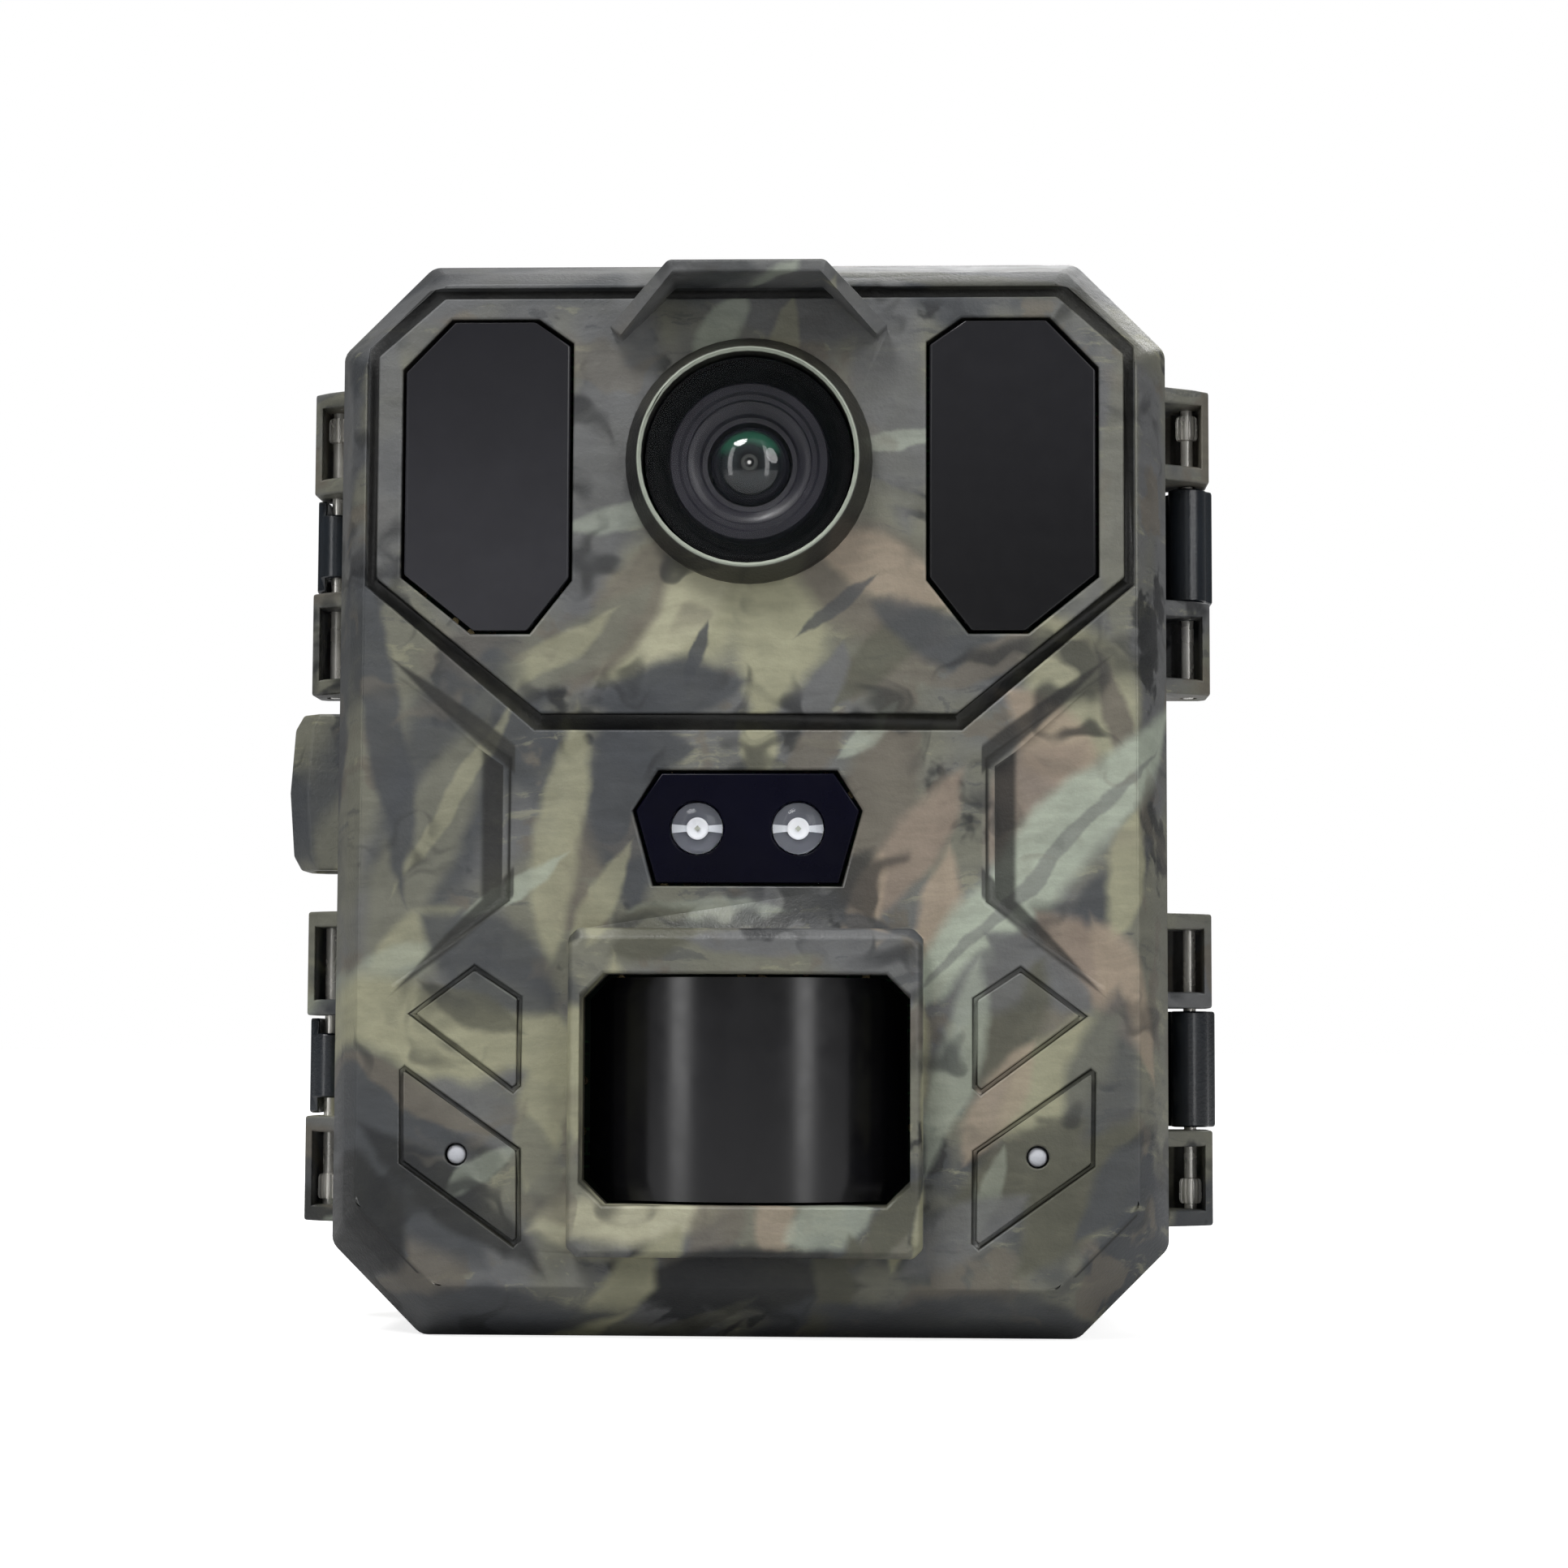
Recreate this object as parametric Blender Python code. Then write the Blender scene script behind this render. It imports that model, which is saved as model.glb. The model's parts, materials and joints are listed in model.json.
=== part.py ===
"""Trail camera: front housing with the electronics, a rear cover on two side hinges, and two latches.

Sizes are in millimetres, and the finished meshes are scaled to metres. X is to the right seen from the front,
the front looks along -Y, Z is up, and the origin lies on the flat base under the middle of the case."""

import math

import bmesh
import bpy
from mathutils import Matrix, Vector

MM = 0.001

# Overall
CASE_WIDTH = 86.2
CASE_HEIGHT = 111.6
FRONT_DEPTH = 30.0  # front face to the parting line
REAR_DEPTH = 17.7  # parting line to the rear face
FRONT_FACE_Y = -24.0
CASE_CHAMFER = 9.3
SHOULDER_DEPTH = 7.0  # the slope from the front face to the side wall
SHOULDER_SIDE = 3.4
SHOULDER_TOP = 3.4
SHOULDER_BOTTOM = 5.4
WALL = 2.4
GAP = 0.3  # between pieces that touch or slide

# Front features
PANEL_MARGIN = 1.3  # flat face left outside the panel's groove
PANEL_DROP = 48.0  # top of the case to the panel's lower edge
PANEL_SIDE_DROP = 34.0  # top of the case to where the sides turn in
PANEL_CHAMFER = (6.8, 6.0)
GROOVE_WIDTH = 1.1
GROOVE_DEPTH = 1.5
CORNER_RADIUS = 1.7  # of the case's outline
CORNER_STEPS = 3
POCKET_LINE_WIDTH = 0.45
POCKET_LINE_DEPTH = 0.6
CHEVRON_DEPTH = 1.6
LENS_DROP = 22.0  # top of the case to the lens axis
LENS_RING_RADIUS = 12.7
LENS_RING_RIM = 11.4
LENS_RING_HEIGHT = 3.4
LENS_BORE_RADIUS = 10.9
IR_TOP_DROP = 7.1
IR_HEIGHT = 32.65
IR_SIDE_MARGIN = 2.6  # panel edge to window
IR_LENS_GAP = 5.5  # lens ring to window
HEX_DROP = 53.8  # top of the case to the plate's upper edge
HEX_HEIGHT = 11.8
HEX_HALF_TOP, HEX_HALF_MID, HEX_HALF_LOW = 9.1, 11.7, 9.6
HEX_SHOULDER = 4.1
LAMP_SPACING = 10.3
LAMP_RADIUS = 2.6
BEZEL_HALF = 17.9
BEZEL_LOW, BEZEL_TOP = 8.6, 41.6
BEZEL_STAND = 4.0
PIR_HALF = 16.6  # bezel opening
PIR_LOW, PIR_TOP = 13.8, 37.0
PIR_CORNER = 2.4
PIR_LENS_RADIUS = 22.0
PIR_LENS_WALL = 1.0
VISOR_REACH = 8.0
VISOR_THICK = 1.3
VISOR_HALF_TOP = 7.9
VISOR_HALF_LOW = 14.3
VISOR_DROP = 2.7  # top of the case to the brim's upper face
VISOR_ARM = 5.8
PORT_RADIUS = 1.15
PORT_PLACE = (29.45, 18.7)

# Side hardware
PIN_RADIUS = 0.68
PIN_CLEARANCE = 0.25
PIN_STANDOFF = 3.8  # side wall to pin axis
PIN_Y = 2.5
SPLINE_RADIUS = 1.2
KNUCKLE_REACH = 6.0
KNUCKLE_WALL = 1.7
KNUCKLE_SKIN = 0.95
KNUCKLE_DEPTH = 7.2
KNUCKLE_BACK = 1.3  # wall left behind the pin
SET_LENGTH = 33.4
UPPER_SET_DROP = 10.3  # top of the case to the upper set
LOWER_SET_BASE = 10.8
ARM_LENGTH = 12.5
LEVER_LENGTH = 10.3
BARREL_RADIUS = 2.05
LEVER_BARREL_LENGTH = 7.0
LUG_LOW, LUG_HEIGHT, LUG_REACH = 48.6, 17.0, 8.0

# Inside
BOARD_THICK = 1.6
BOARD_Y = -9.8
FRAME_THICK = 2.8
FRAME_Y = 1.2
CELL_RADIUS = 7.1
CELL_LENGTH = 50.5
CELL_PITCH = 14.8
CELL_Y = 12.0
CELL_BASE = 9.0
SPRING_ROOM = 2.4
SPRING_WIDE, SPRING_NARROW, SPRING_WIRE = 3.6, 2.2, 0.6
TRAY_WALL = 1.2
TRAY_HEIGHT = 7.0
KEY_RADIUS = 2.6
KEY_PITCH = 8.0
KEY_STAND = 1.2
KEY_TRAVEL = 0.6
LCD_HEIGHT = 33.0
LCD_TOP_DROP = 8.6
SCREW_RADIUS = 1.3
BOSS_RADIUS = 2.9
INSERT_RADIUS = 5.2
INSERT_BORE = 3.15
INSERT_LENGTH = 8.0
INSERT_Y = -9.0
INSERT_WALL = 1.8  # plastic round the insert
INSERT_CAP = 1.4  # plastic over it
SWITCH_DROP = 41.0  # top of the case to the mode switch
SWITCH_ROOM = 6.0  # half of its slot
CARD_WIDTH, CARD_LENGTH, CARD_THICK = 11.0, 15.0, 1.0
SHOULDER_SPARE = (2.2, 3.6)  # the room inside stands back from the sloped shoulder: sideways, and for this depth
LOCK_SLOT = (5.6, 0.9)  # outer and inner edge of the lock slot, out from the side wall

# Rear
REAR_SLOPE = 4.0
STRAP_WIDTH = 27.0
STRAP_ROOM = 4.6
STRAP_BRIDGE = 2.2
BRIDGE_HALF_WIDTH = 2.6
BRIDGE_X = 27.0
BRIDGE_MIDDLE = 56.0
CATCH_Y = 16.0
CATCH_REACH = 1.5

HALF = CASE_WIDTH / 2
SEAM_Y = FRONT_FACE_Y + FRONT_DEPTH
REAR_FACE_Y = SEAM_Y + GAP + REAR_DEPTH
PIN_X = HALF + PIN_STANDOFF
FACE_HALF = HALF - SHOULDER_SIDE
PANEL_HALF = FACE_HALF - PANEL_MARGIN
LENS_Z = CASE_HEIGHT - LENS_DROP
LAMP_Z = CASE_HEIGHT - HEX_DROP - HEX_HEIGHT / 2
INNER = HALF - WALL
MIDDLE_Z = LAMP_Z - 0.4


# ---------------------------------------------------------------- helpers


def clear_scene():
    for thing in list(bpy.data.objects):
        bpy.data.objects.remove(thing, do_unlink=True)


def material(name, colour, roughness=0.5, metallic=0.0):
    made = bpy.data.materials.get(name) or bpy.data.materials.new(name)
    made.use_nodes = True
    shader = made.node_tree.nodes["Principled BSDF"]
    shader.inputs["Base Color"].default_value = (*colour, 1.0)
    shader.inputs["Roughness"].default_value = roughness
    shader.inputs["Metallic"].default_value = metallic
    return made


def place(name, bm, finish, smooth=False):
    """One object from a bmesh in millimetres."""
    bmesh.ops.recalc_face_normals(bm, faces=bm.faces)
    mesh = bpy.data.meshes.new(name)
    bm.to_mesh(mesh)
    bm.free()
    thing = bpy.data.objects.new(name, mesh)
    bpy.context.scene.collection.objects.link(thing)
    if finish is not None:
        mesh.materials.append(finish)
    if smooth:
        mesh.shade_smooth()
        mesh.set_sharp_from_angle(angle=math.radians(35))
    return thing


def loft(rings):
    """A closed solid through rings of the same number of points."""
    bm = bmesh.new()
    made = [[bm.verts.new(point) for point in ring] for ring in rings]
    count = len(made[0])
    for low, high in zip(made, made[1:]):
        for i in range(count):
            j = (i + 1) % count
            bm.faces.new((low[i], low[j], high[j], high[i]))
    bm.faces.new(made[0][::-1])
    bm.faces.new(made[-1])
    return bm


def prism_y(outline, front, back):
    return loft([[(x, y, z) for x, z in outline] for y in (front, back)])


def prism_z(outline, low, high):
    return loft([[(x, y, z) for x, y in outline] for z in (low, high)])


def box(low, high):
    (x0, y0, z0), (x1, y1, z1) = low, high
    return prism_z([(x0, y0), (x1, y0), (x1, y1), (x0, y1)], z0, z1)


AXES = {
    "x": lambda u, v, w: (w, u, v),
    "y": lambda u, v, w: (u, w, v),
    "z": lambda u, v, w: (u, v, w),
}


def turned(profile, axis="z", centre=(0, 0, 0), sides=24):
    """A solid of revolution: profile is (radius, place along the axis), closed on the axis at both ends."""
    bm = bmesh.new()
    move = Vector(centre)
    rings = []
    for radius, along in profile:
        if radius == 0:
            rings.append([bm.verts.new(Vector(AXES[axis](0, 0, along)) + move)])
            continue
        turns = [2 * math.pi * i / sides for i in range(sides)]
        rings.append(
            [bm.verts.new(Vector(AXES[axis](radius * math.cos(a), radius * math.sin(a), along)) + move)
             for a in turns]
        )
    for low, high in zip(rings, rings[1:]):
        for i in range(sides):
            j = (i + 1) % sides
            if len(low) == 1:
                bm.faces.new((low[0], high[j], high[i]))
            elif len(high) == 1:
                bm.faces.new((low[i], low[j], high[0]))
            else:
                bm.faces.new((low[i], low[j], high[j], high[i]))
    return bm


def rod(radius, low, high, axis="z", centre=(0, 0, 0), sides=24):
    return turned([(0, low), (radius, low), (radius, high), (0, high)], axis, centre, sides)


def ring_of(profile, axis="z", centre=(0, 0, 0), sides=24):
    """A turned profile whose last point joins its first, so the piece is open along its axis."""
    bm = turned(profile, axis, centre, sides)
    bm.verts.ensure_lookup_table()
    last = (len(profile) - 1) * sides
    for i in range(sides):
        j = (i + 1) % sides
        bm.faces.new((bm.verts[last + i], bm.verts[last + j], bm.verts[j], bm.verts[i]))
    return bm


def sleeve(inner, outer, low, high, axis="z", centre=(0, 0, 0), sides=24):
    """A ring with a square section."""
    return ring_of([(outer, low), (outer, high), (inner, high), (inner, low)], axis, centre, sides)


def merged(*parts):
    """Several bmeshes in one, for use as a single cutter or addition."""
    whole = bmesh.new()
    for part in parts:
        mesh = bpy.data.meshes.new("part")
        bmesh.ops.recalc_face_normals(part, faces=part.faces)
        part.to_mesh(mesh)
        part.free()
        whole.from_mesh(mesh)
        bpy.data.meshes.remove(mesh)
    return whole


def mirrored(outline):
    return [(-x, z) for x, z in outline][::-1]


def change(thing, operation, *tools, solver="EXACT"):
    """Boolean with each tool in turn, kept in the mesh."""
    for tool in tools:
        other = place("tool", tool, None)
        step = thing.modifiers.new("step", "BOOLEAN")
        step.operation = operation
        step.object = other
        step.solver = solver
        graph = bpy.context.evaluated_depsgraph_get()
        mesh = bpy.data.meshes.new_from_object(thing.evaluated_get(graph))
        thing.modifiers.clear()
        thing.data = mesh
        bpy.data.objects.remove(other, do_unlink=True)
    return thing


def cut(thing, *tools, solver="EXACT"):
    return change(thing, "DIFFERENCE", *tools, solver=solver)


def join(thing, *tools):
    return change(thing, "UNION", *tools)


def octagon(half, low, high, chamfer):
    """Rectangle with cut corners, counter-clockwise in x and z."""
    return [
        (half, low + chamfer), (half, high - chamfer), (half - chamfer, high), (chamfer - half, high),
        (-half, high - chamfer), (-half, low + chamfer), (chamfer - half, low), (half - chamfer, low),
    ]


def case_outline(inset=0.0):
    trim = CASE_CHAMFER - inset * (2 - math.sqrt(2))
    return octagon(HALF - inset, inset, CASE_HEIGHT - inset, trim)


def rounded(outline, radius=CORNER_RADIUS, steps=CORNER_STEPS):
    """The same outline with an arc at each corner."""
    made = []
    for i in range(len(outline)):
        before, here, after = (Vector(outline[k % len(outline)]) for k in (i - 1, i, i + 1))
        back, on = (before - here).normalized(), (after - here).normalized()
        half = back.angle(on) / 2
        centre = here + (back + on).normalized() * radius / math.sin(half)
        first = here + back * radius / math.tan(half) - centre
        last = here + on * radius / math.tan(half) - centre
        sweep = first.angle_signed(last)
        made += [tuple(centre + Matrix.Rotation(-sweep * k / steps, 2) @ first) for k in range(steps + 1)]
    return made


def at(outline, y):
    return [(x, y, z) for x, z in outline]


# ---------------------------------------------------------------- finishes

CAMO = material("camo_shell", (0.12, 0.125, 0.105), 0.45)
BLACK = material("black_nylon", (0.010, 0.016, 0.024), 0.3)
SMOKE = material("smoked_window", (0.012, 0.012, 0.014), 0.12)
CLEAR = material("clear_plastic", (0.8, 0.82, 0.85), 0.05)
NICKEL = material("nickel_pin", (0.75, 0.74, 0.70), 0.22, 1.0)
BRASS = material("brass_insert", (0.70, 0.52, 0.25), 0.3, 1.0)
BOARD = material("circuit_board", (0.02, 0.10, 0.05), 0.4)
GREY = material("grey_plastic", (0.10, 0.105, 0.11), 0.5)
SEAL = material("seal_rubber", (0.02, 0.02, 0.02), 0.7)
CELL = material("cell_sleeve", (0.05, 0.12, 0.25), 0.3)
LENS = material("lens_glass", (0.02, 0.03, 0.03), 0.03)
PLATE = material("indicator_plate", (0.001, 0.001, 0.006), 0.15)


# ---------------------------------------------------------------- outlines on the front face


def panel_outline(grow=0.0):
    """Raised upper panel: wide above, drawn in to a short lower edge."""
    half = PANEL_HALF + grow
    top = CASE_HEIGHT - SHOULDER_TOP - PANEL_MARGIN - 0.2 + grow
    low = CASE_HEIGHT - PANEL_DROP - grow * 1.5
    turn = CASE_HEIGHT - PANEL_SIDE_DROP - grow * 0.6
    across, down = PANEL_CHAMFER
    foot = PANEL_HALF - 17.1 + grow * 0.5
    right = [(foot, low), (half, turn), (half, top - down), (half - across, top)]
    return right + mirrored(right)


def ir_outline(side, shrink=0.0):
    outer = PANEL_HALF - IR_SIDE_MARGIN - shrink
    inner = LENS_RING_RADIUS + IR_LENS_GAP + shrink
    top = CASE_HEIGHT - IR_TOP_DROP - shrink
    low = top - IR_HEIGHT + 2 * shrink
    points = [
        (inner + 4.3, low), (outer - 7.2, low), (outer, low + 5.8), (outer, top - 5.2),
        (outer - 5.0, top), (inner + 3.6, top), (inner, top - 2.5), (inner, low + 5.5),
    ]
    return points if side > 0 else mirrored(points)


def hex_outline(shrink=0.0):
    top = CASE_HEIGHT - HEX_DROP - shrink
    low = top - HEX_HEIGHT + 2 * shrink
    right = [(HEX_HALF_LOW - shrink, low), (HEX_HALF_MID - shrink, top - HEX_SHOULDER + shrink),
             (HEX_HALF_TOP - shrink, top)]
    return right + mirrored(right)


def pir_outline(shrink=0.0):
    return octagon(PIR_HALF - shrink, PIR_LOW + shrink, PIR_TOP - shrink, PIR_CORNER)


def upper_pocket():
    edge = FACE_HALF
    return [(edge - 16.0, 24.9), (edge - 5.2, 32.9), (edge - 11.95, 37.9), (edge - 16.8, 34.7),
            (edge - 16.8, 25.65)]


def lower_pocket():
    edge = FACE_HALF
    return [(edge - 16.2, 9.4), (edge - 4.5, 17.8), (edge - 4.4, 27.2), (edge - 4.9, 27.6),
            (edge - 16.8, 19.3), (edge - 16.9, 10.05)]


# ---------------------------------------------------------------- front shell


def groove(outline, outer, depth):
    """A channel between two outlines, cut into the front face."""
    bm = bmesh.new()
    count = len(outline)
    front, back = FRONT_FACE_Y - 0.5, FRONT_FACE_Y + depth
    rows = [[bm.verts.new(point) for point in at(line, y)]
            for line, y in ((outline, front), (outline, back), (outer, back), (outer, front))]
    for here, there in zip(rows, rows[1:] + rows[:1]):
        for i in range(count):
            j = (i + 1) % count
            bm.faces.new((here[i], here[j], there[j], there[i]))
    return bm


def shrunk(outline, by):
    """The same outline drawn in by a constant distance."""
    made = []
    count = len(outline)
    for i in range(count):
        before, here, after = (Vector(outline[k % count]) for k in (i - 1, i, i + 1))
        first = (here - before).normalized()
        second = (after - here).normalized()
        inward = (Vector((-first.y, first.x)) + Vector((-second.y, second.x))).normalized()
        made.append(tuple(here + inward * by / max(0.3, inward.dot(Vector((-first.y, first.x))))))
    return made


def chevron(side):
    """A wing whose floor sinks from nothing at the side to its full depth at the elbows."""
    depth = CHEVRON_DEPTH
    tip = FACE_HALF - 3.0
    surface = FRONT_FACE_Y
    outer = [(tip, MIDDLE_Z + 16.7), (23.75, MIDDLE_Z + 7.9), (23.75, MIDDLE_Z - 7.3), (tip, MIDDLE_Z - 16.4)]
    floor = [(25.4, MIDDLE_Z + 6.7), (25.4, MIDDLE_Z - 6.5)]
    points = [(x, surface - 0.4, z) for x, z in outer] + [(x, surface + depth, z) for x, z in floor]
    points += [(tip + 0.2, surface - 0.05, z) for z in (MIDDLE_Z + 16.6, MIDDLE_Z - 16.3)]
    bm = bmesh.new()
    verts = [bm.verts.new((side * x, y, z)) for x, y, z in points]
    made = bmesh.ops.convex_hull(bm, input=verts)
    spare = {item for item in made["geom_interior"] + made["geom_unused"] if isinstance(item, bmesh.types.BMVert)}
    bmesh.ops.delete(bm, geom=list(spare), context="VERTS")
    return bm


def set_spans():
    """Low and high end of each of the two hardware sets."""
    high = CASE_HEIGHT - UPPER_SET_DROP
    return {"lower": (LOWER_SET_BASE, LOWER_SET_BASE + SET_LENGTH), "upper": (high - SET_LENGTH, high)}


def knuckles(side, low, high, middle):
    """Two knuckles with a window each, and the space between them for the moving piece."""
    length = (high - low - middle) / 2 - GAP
    solids, holes = [], []
    x0, x1 = HALF - 0.8, HALF + KNUCKLE_REACH
    y0, y1 = SEAM_Y - 0.5 - KNUCKLE_DEPTH, SEAM_Y - 0.5
    for base in (low, high - length):
        outline = [(x0, y0 - 3.0), (x1 - 1.6, y0), (x1, y0 + 1.4), (x1, y1 - 0.8), (x1 - 0.8, y1), (x0, y1)]
        solids.append(prism_z([(side * x, y) for x, y in outline], base, base + length))
        w0, w1 = base + KNUCKLE_WALL, base + length - KNUCKLE_WALL
        holes.append(box((min(side * (HALF + 0.7), side * (x1 - KNUCKLE_SKIN)), y0 - 4, w0),
                         (max(side * (HALF + 0.7), side * (x1 - KNUCKLE_SKIN)), y1 - KNUCKLE_BACK, w1)))
    bore = rod(PIN_RADIUS + PIN_CLEARANCE, low - 1, high + 1, "z", (side * PIN_X, PIN_Y, 0), 16)
    return solids, holes, bore


def build_front_shell():
    front = octagon(FACE_HALF, SHOULDER_BOTTOM, CASE_HEIGHT - SHOULDER_TOP, CASE_CHAMFER - 1.0)
    near = [tuple((Vector(a) * 0.55 + Vector(b) * 0.45)) for a, b in zip(front, case_outline())]
    shoulder_y = FRONT_FACE_Y + SHOULDER_DEPTH
    rings = [at(rounded(front), FRONT_FACE_Y), at(rounded(near), FRONT_FACE_Y + SHOULDER_DEPTH * 0.3),
             at(rounded(case_outline()), shoulder_y), at(rounded(case_outline()), SEAM_Y)]
    shell = place("front_shell", loft(rings), CAMO)

    # raised pieces of the front
    bezel = octagon(BEZEL_HALF, BEZEL_LOW, BEZEL_TOP, 1.0)
    bezel_front = octagon(BEZEL_HALF - 0.5, BEZEL_LOW + 0.5, BEZEL_TOP - 1.0, 1.0)
    join(shell, loft([at(bezel_front, FRONT_FACE_Y - BEZEL_STAND),
                      at(bezel, FRONT_FACE_Y - BEZEL_STAND + 0.8), at(bezel, FRONT_FACE_Y + 1)]))
    high = CASE_HEIGHT - VISOR_DROP
    right = [(VISOR_HALF_TOP, high), (VISOR_HALF_LOW, high - VISOR_ARM),
             (VISOR_HALF_LOW - 1.1, high - VISOR_ARM - 1.0), (VISOR_HALF_TOP - 0.4, high - VISOR_THICK)]
    brim = [(-x, z) for x, z in right[:2][::-1]] + right + [(-x, z) for x, z in right[2:][::-1]]
    reach = [0.35, 1, 1, 0.35, 0.35, 1, 1, 0.35]
    points = [(x, FRONT_FACE_Y - VISOR_REACH * r, z) for (x, z), r in zip(brim, reach)]
    join(shell, loft([points, at(brim, FRONT_FACE_Y + 3.6)]))

    # hardware knuckles, and the lock eye on the latch side
    bores, windows, blocks = [], [], []
    for low, high in set_spans().values():
        for side, middle in ((1, ARM_LENGTH), (-1, LEVER_LENGTH)):
            solids, holes, bore = knuckles(side, low, high, middle)
            blocks += solids
            windows += holes
            bores.append(bore)
    join(shell, merged(*blocks))
    eye = [(-HALF + 0.8, -3.6), (-HALF + 0.8, 5.5), (-HALF - LUG_REACH + 1.6, 5.5), (-HALF - LUG_REACH, 3.9),
           (-HALF - LUG_REACH, -1.4), (-HALF - LUG_REACH + 2.2, -3.6)]
    rings = [[(x if x > -HALF else x + drop, y, LUG_LOW + rise) for x, y in eye]
             for rise, drop in ((0, 1.4), (1.6, 0.5), (LUG_HEIGHT / 2, 0), (LUG_HEIGHT - 1.6, 0.5), (LUG_HEIGHT, 1.4))]
    join(shell, loft(rings))
    cut(shell, merged(*windows))
    cut(shell, merged(*bores))
    cut(shell, box((-HALF - LOCK_SLOT[0], -1.4, LUG_LOW - 1), (-HALF - LOCK_SLOT[1], 3.3, LUG_LOW + LUG_HEIGHT + 1)))

    # hollow, then bosses inside it
    inner = case_outline(WALL)
    cut(shell, prism_y(case_outline(WALL + SHOULDER_SPARE[0]), FRONT_FACE_Y + WALL, SEAM_Y + 1))
    cut(shell, prism_y(inner, FRONT_FACE_Y + WALL + SHOULDER_SPARE[1], SEAM_Y + 1))
    posts = [rod(BOSS_RADIUS, FRONT_FACE_Y + WALL - 1, FRAME_Y - GAP, "y", (x, 0, z), 16) for x, z in screw_places()]
    join(shell, merged(*posts))
    seat = rod(INSERT_RADIUS + INSERT_WALL, WALL - 1, INSERT_LENGTH + INSERT_CAP, "z", (0, INSERT_Y, 0), 24)
    join(shell, seat)
    cut(shell, merged(
        *[rod(SCREW_RADIUS + GAP - 0.2, FRAME_Y - 12, FRAME_Y + 1, "y", (x, 0, z), 12) for x, z in screw_places()],
        rod(INSERT_RADIUS + GAP, -1, INSERT_LENGTH, "z", (0, INSERT_Y, 0), 24)))

    # windows in the front wall
    through = FRONT_FACE_Y + WALL + 1
    front_y = FRONT_FACE_Y - BEZEL_STAND - 1
    cut(shell, merged(
        prism_y(ir_outline(1), front_y, through), prism_y(ir_outline(-1), front_y, through),
        prism_y(hex_outline(), front_y, through), prism_y(pir_outline(), front_y, through),
        *[rod(PORT_RADIUS, FRONT_FACE_Y - 1, through, "y", (side * PORT_PLACE[0], 0, PORT_PLACE[1]), 16)
          for side in (-1, 1)]))

    cut(shell, rod(LENS_BORE_RADIUS + 0.9, FRONT_FACE_Y - 5, through, "y", (0, 0, LENS_Z), 48))
    rim_y, foot_y = FRONT_FACE_Y - LENS_RING_HEIGHT, FRONT_FACE_Y + WALL - 0.2
    ring = [(LENS_BORE_RADIUS, rim_y), (LENS_RING_RIM, rim_y), (LENS_RING_RADIUS, FRONT_FACE_Y - 1.0),
            (LENS_RING_RADIUS, foot_y), (LENS_BORE_RADIUS, foot_y)]
    join(shell, ring_of(ring, "y", (0, 0, LENS_Z), 48))

    # relief: the panel's groove, the wings and the pocket lines
    cut(shell, groove(panel_outline(), panel_outline(GROOVE_WIDTH), GROOVE_DEPTH), solver="MANIFOLD")
    cut(shell, merged(chevron(1), chevron(-1)), solver="MANIFOLD")
    lines = []
    for pocket in (upper_pocket(), lower_pocket()):
        inner = shrunk(pocket, POCKET_LINE_WIDTH)
        lines.append(groove(inner, pocket, POCKET_LINE_DEPTH))
        lines.append(groove(mirrored(inner), mirrored(pocket), POCKET_LINE_DEPTH))
    cut(shell, merged(*lines), solver="MANIFOLD")
    return shell


def screw_places():
    x = INNER - 7.2
    return [(side * x, z) for z in (WALL + 9.0, CASE_HEIGHT - WALL - 9.0) for side in (-1, 1)]


# ---------------------------------------------------------------- windows and optics of the front


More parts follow.
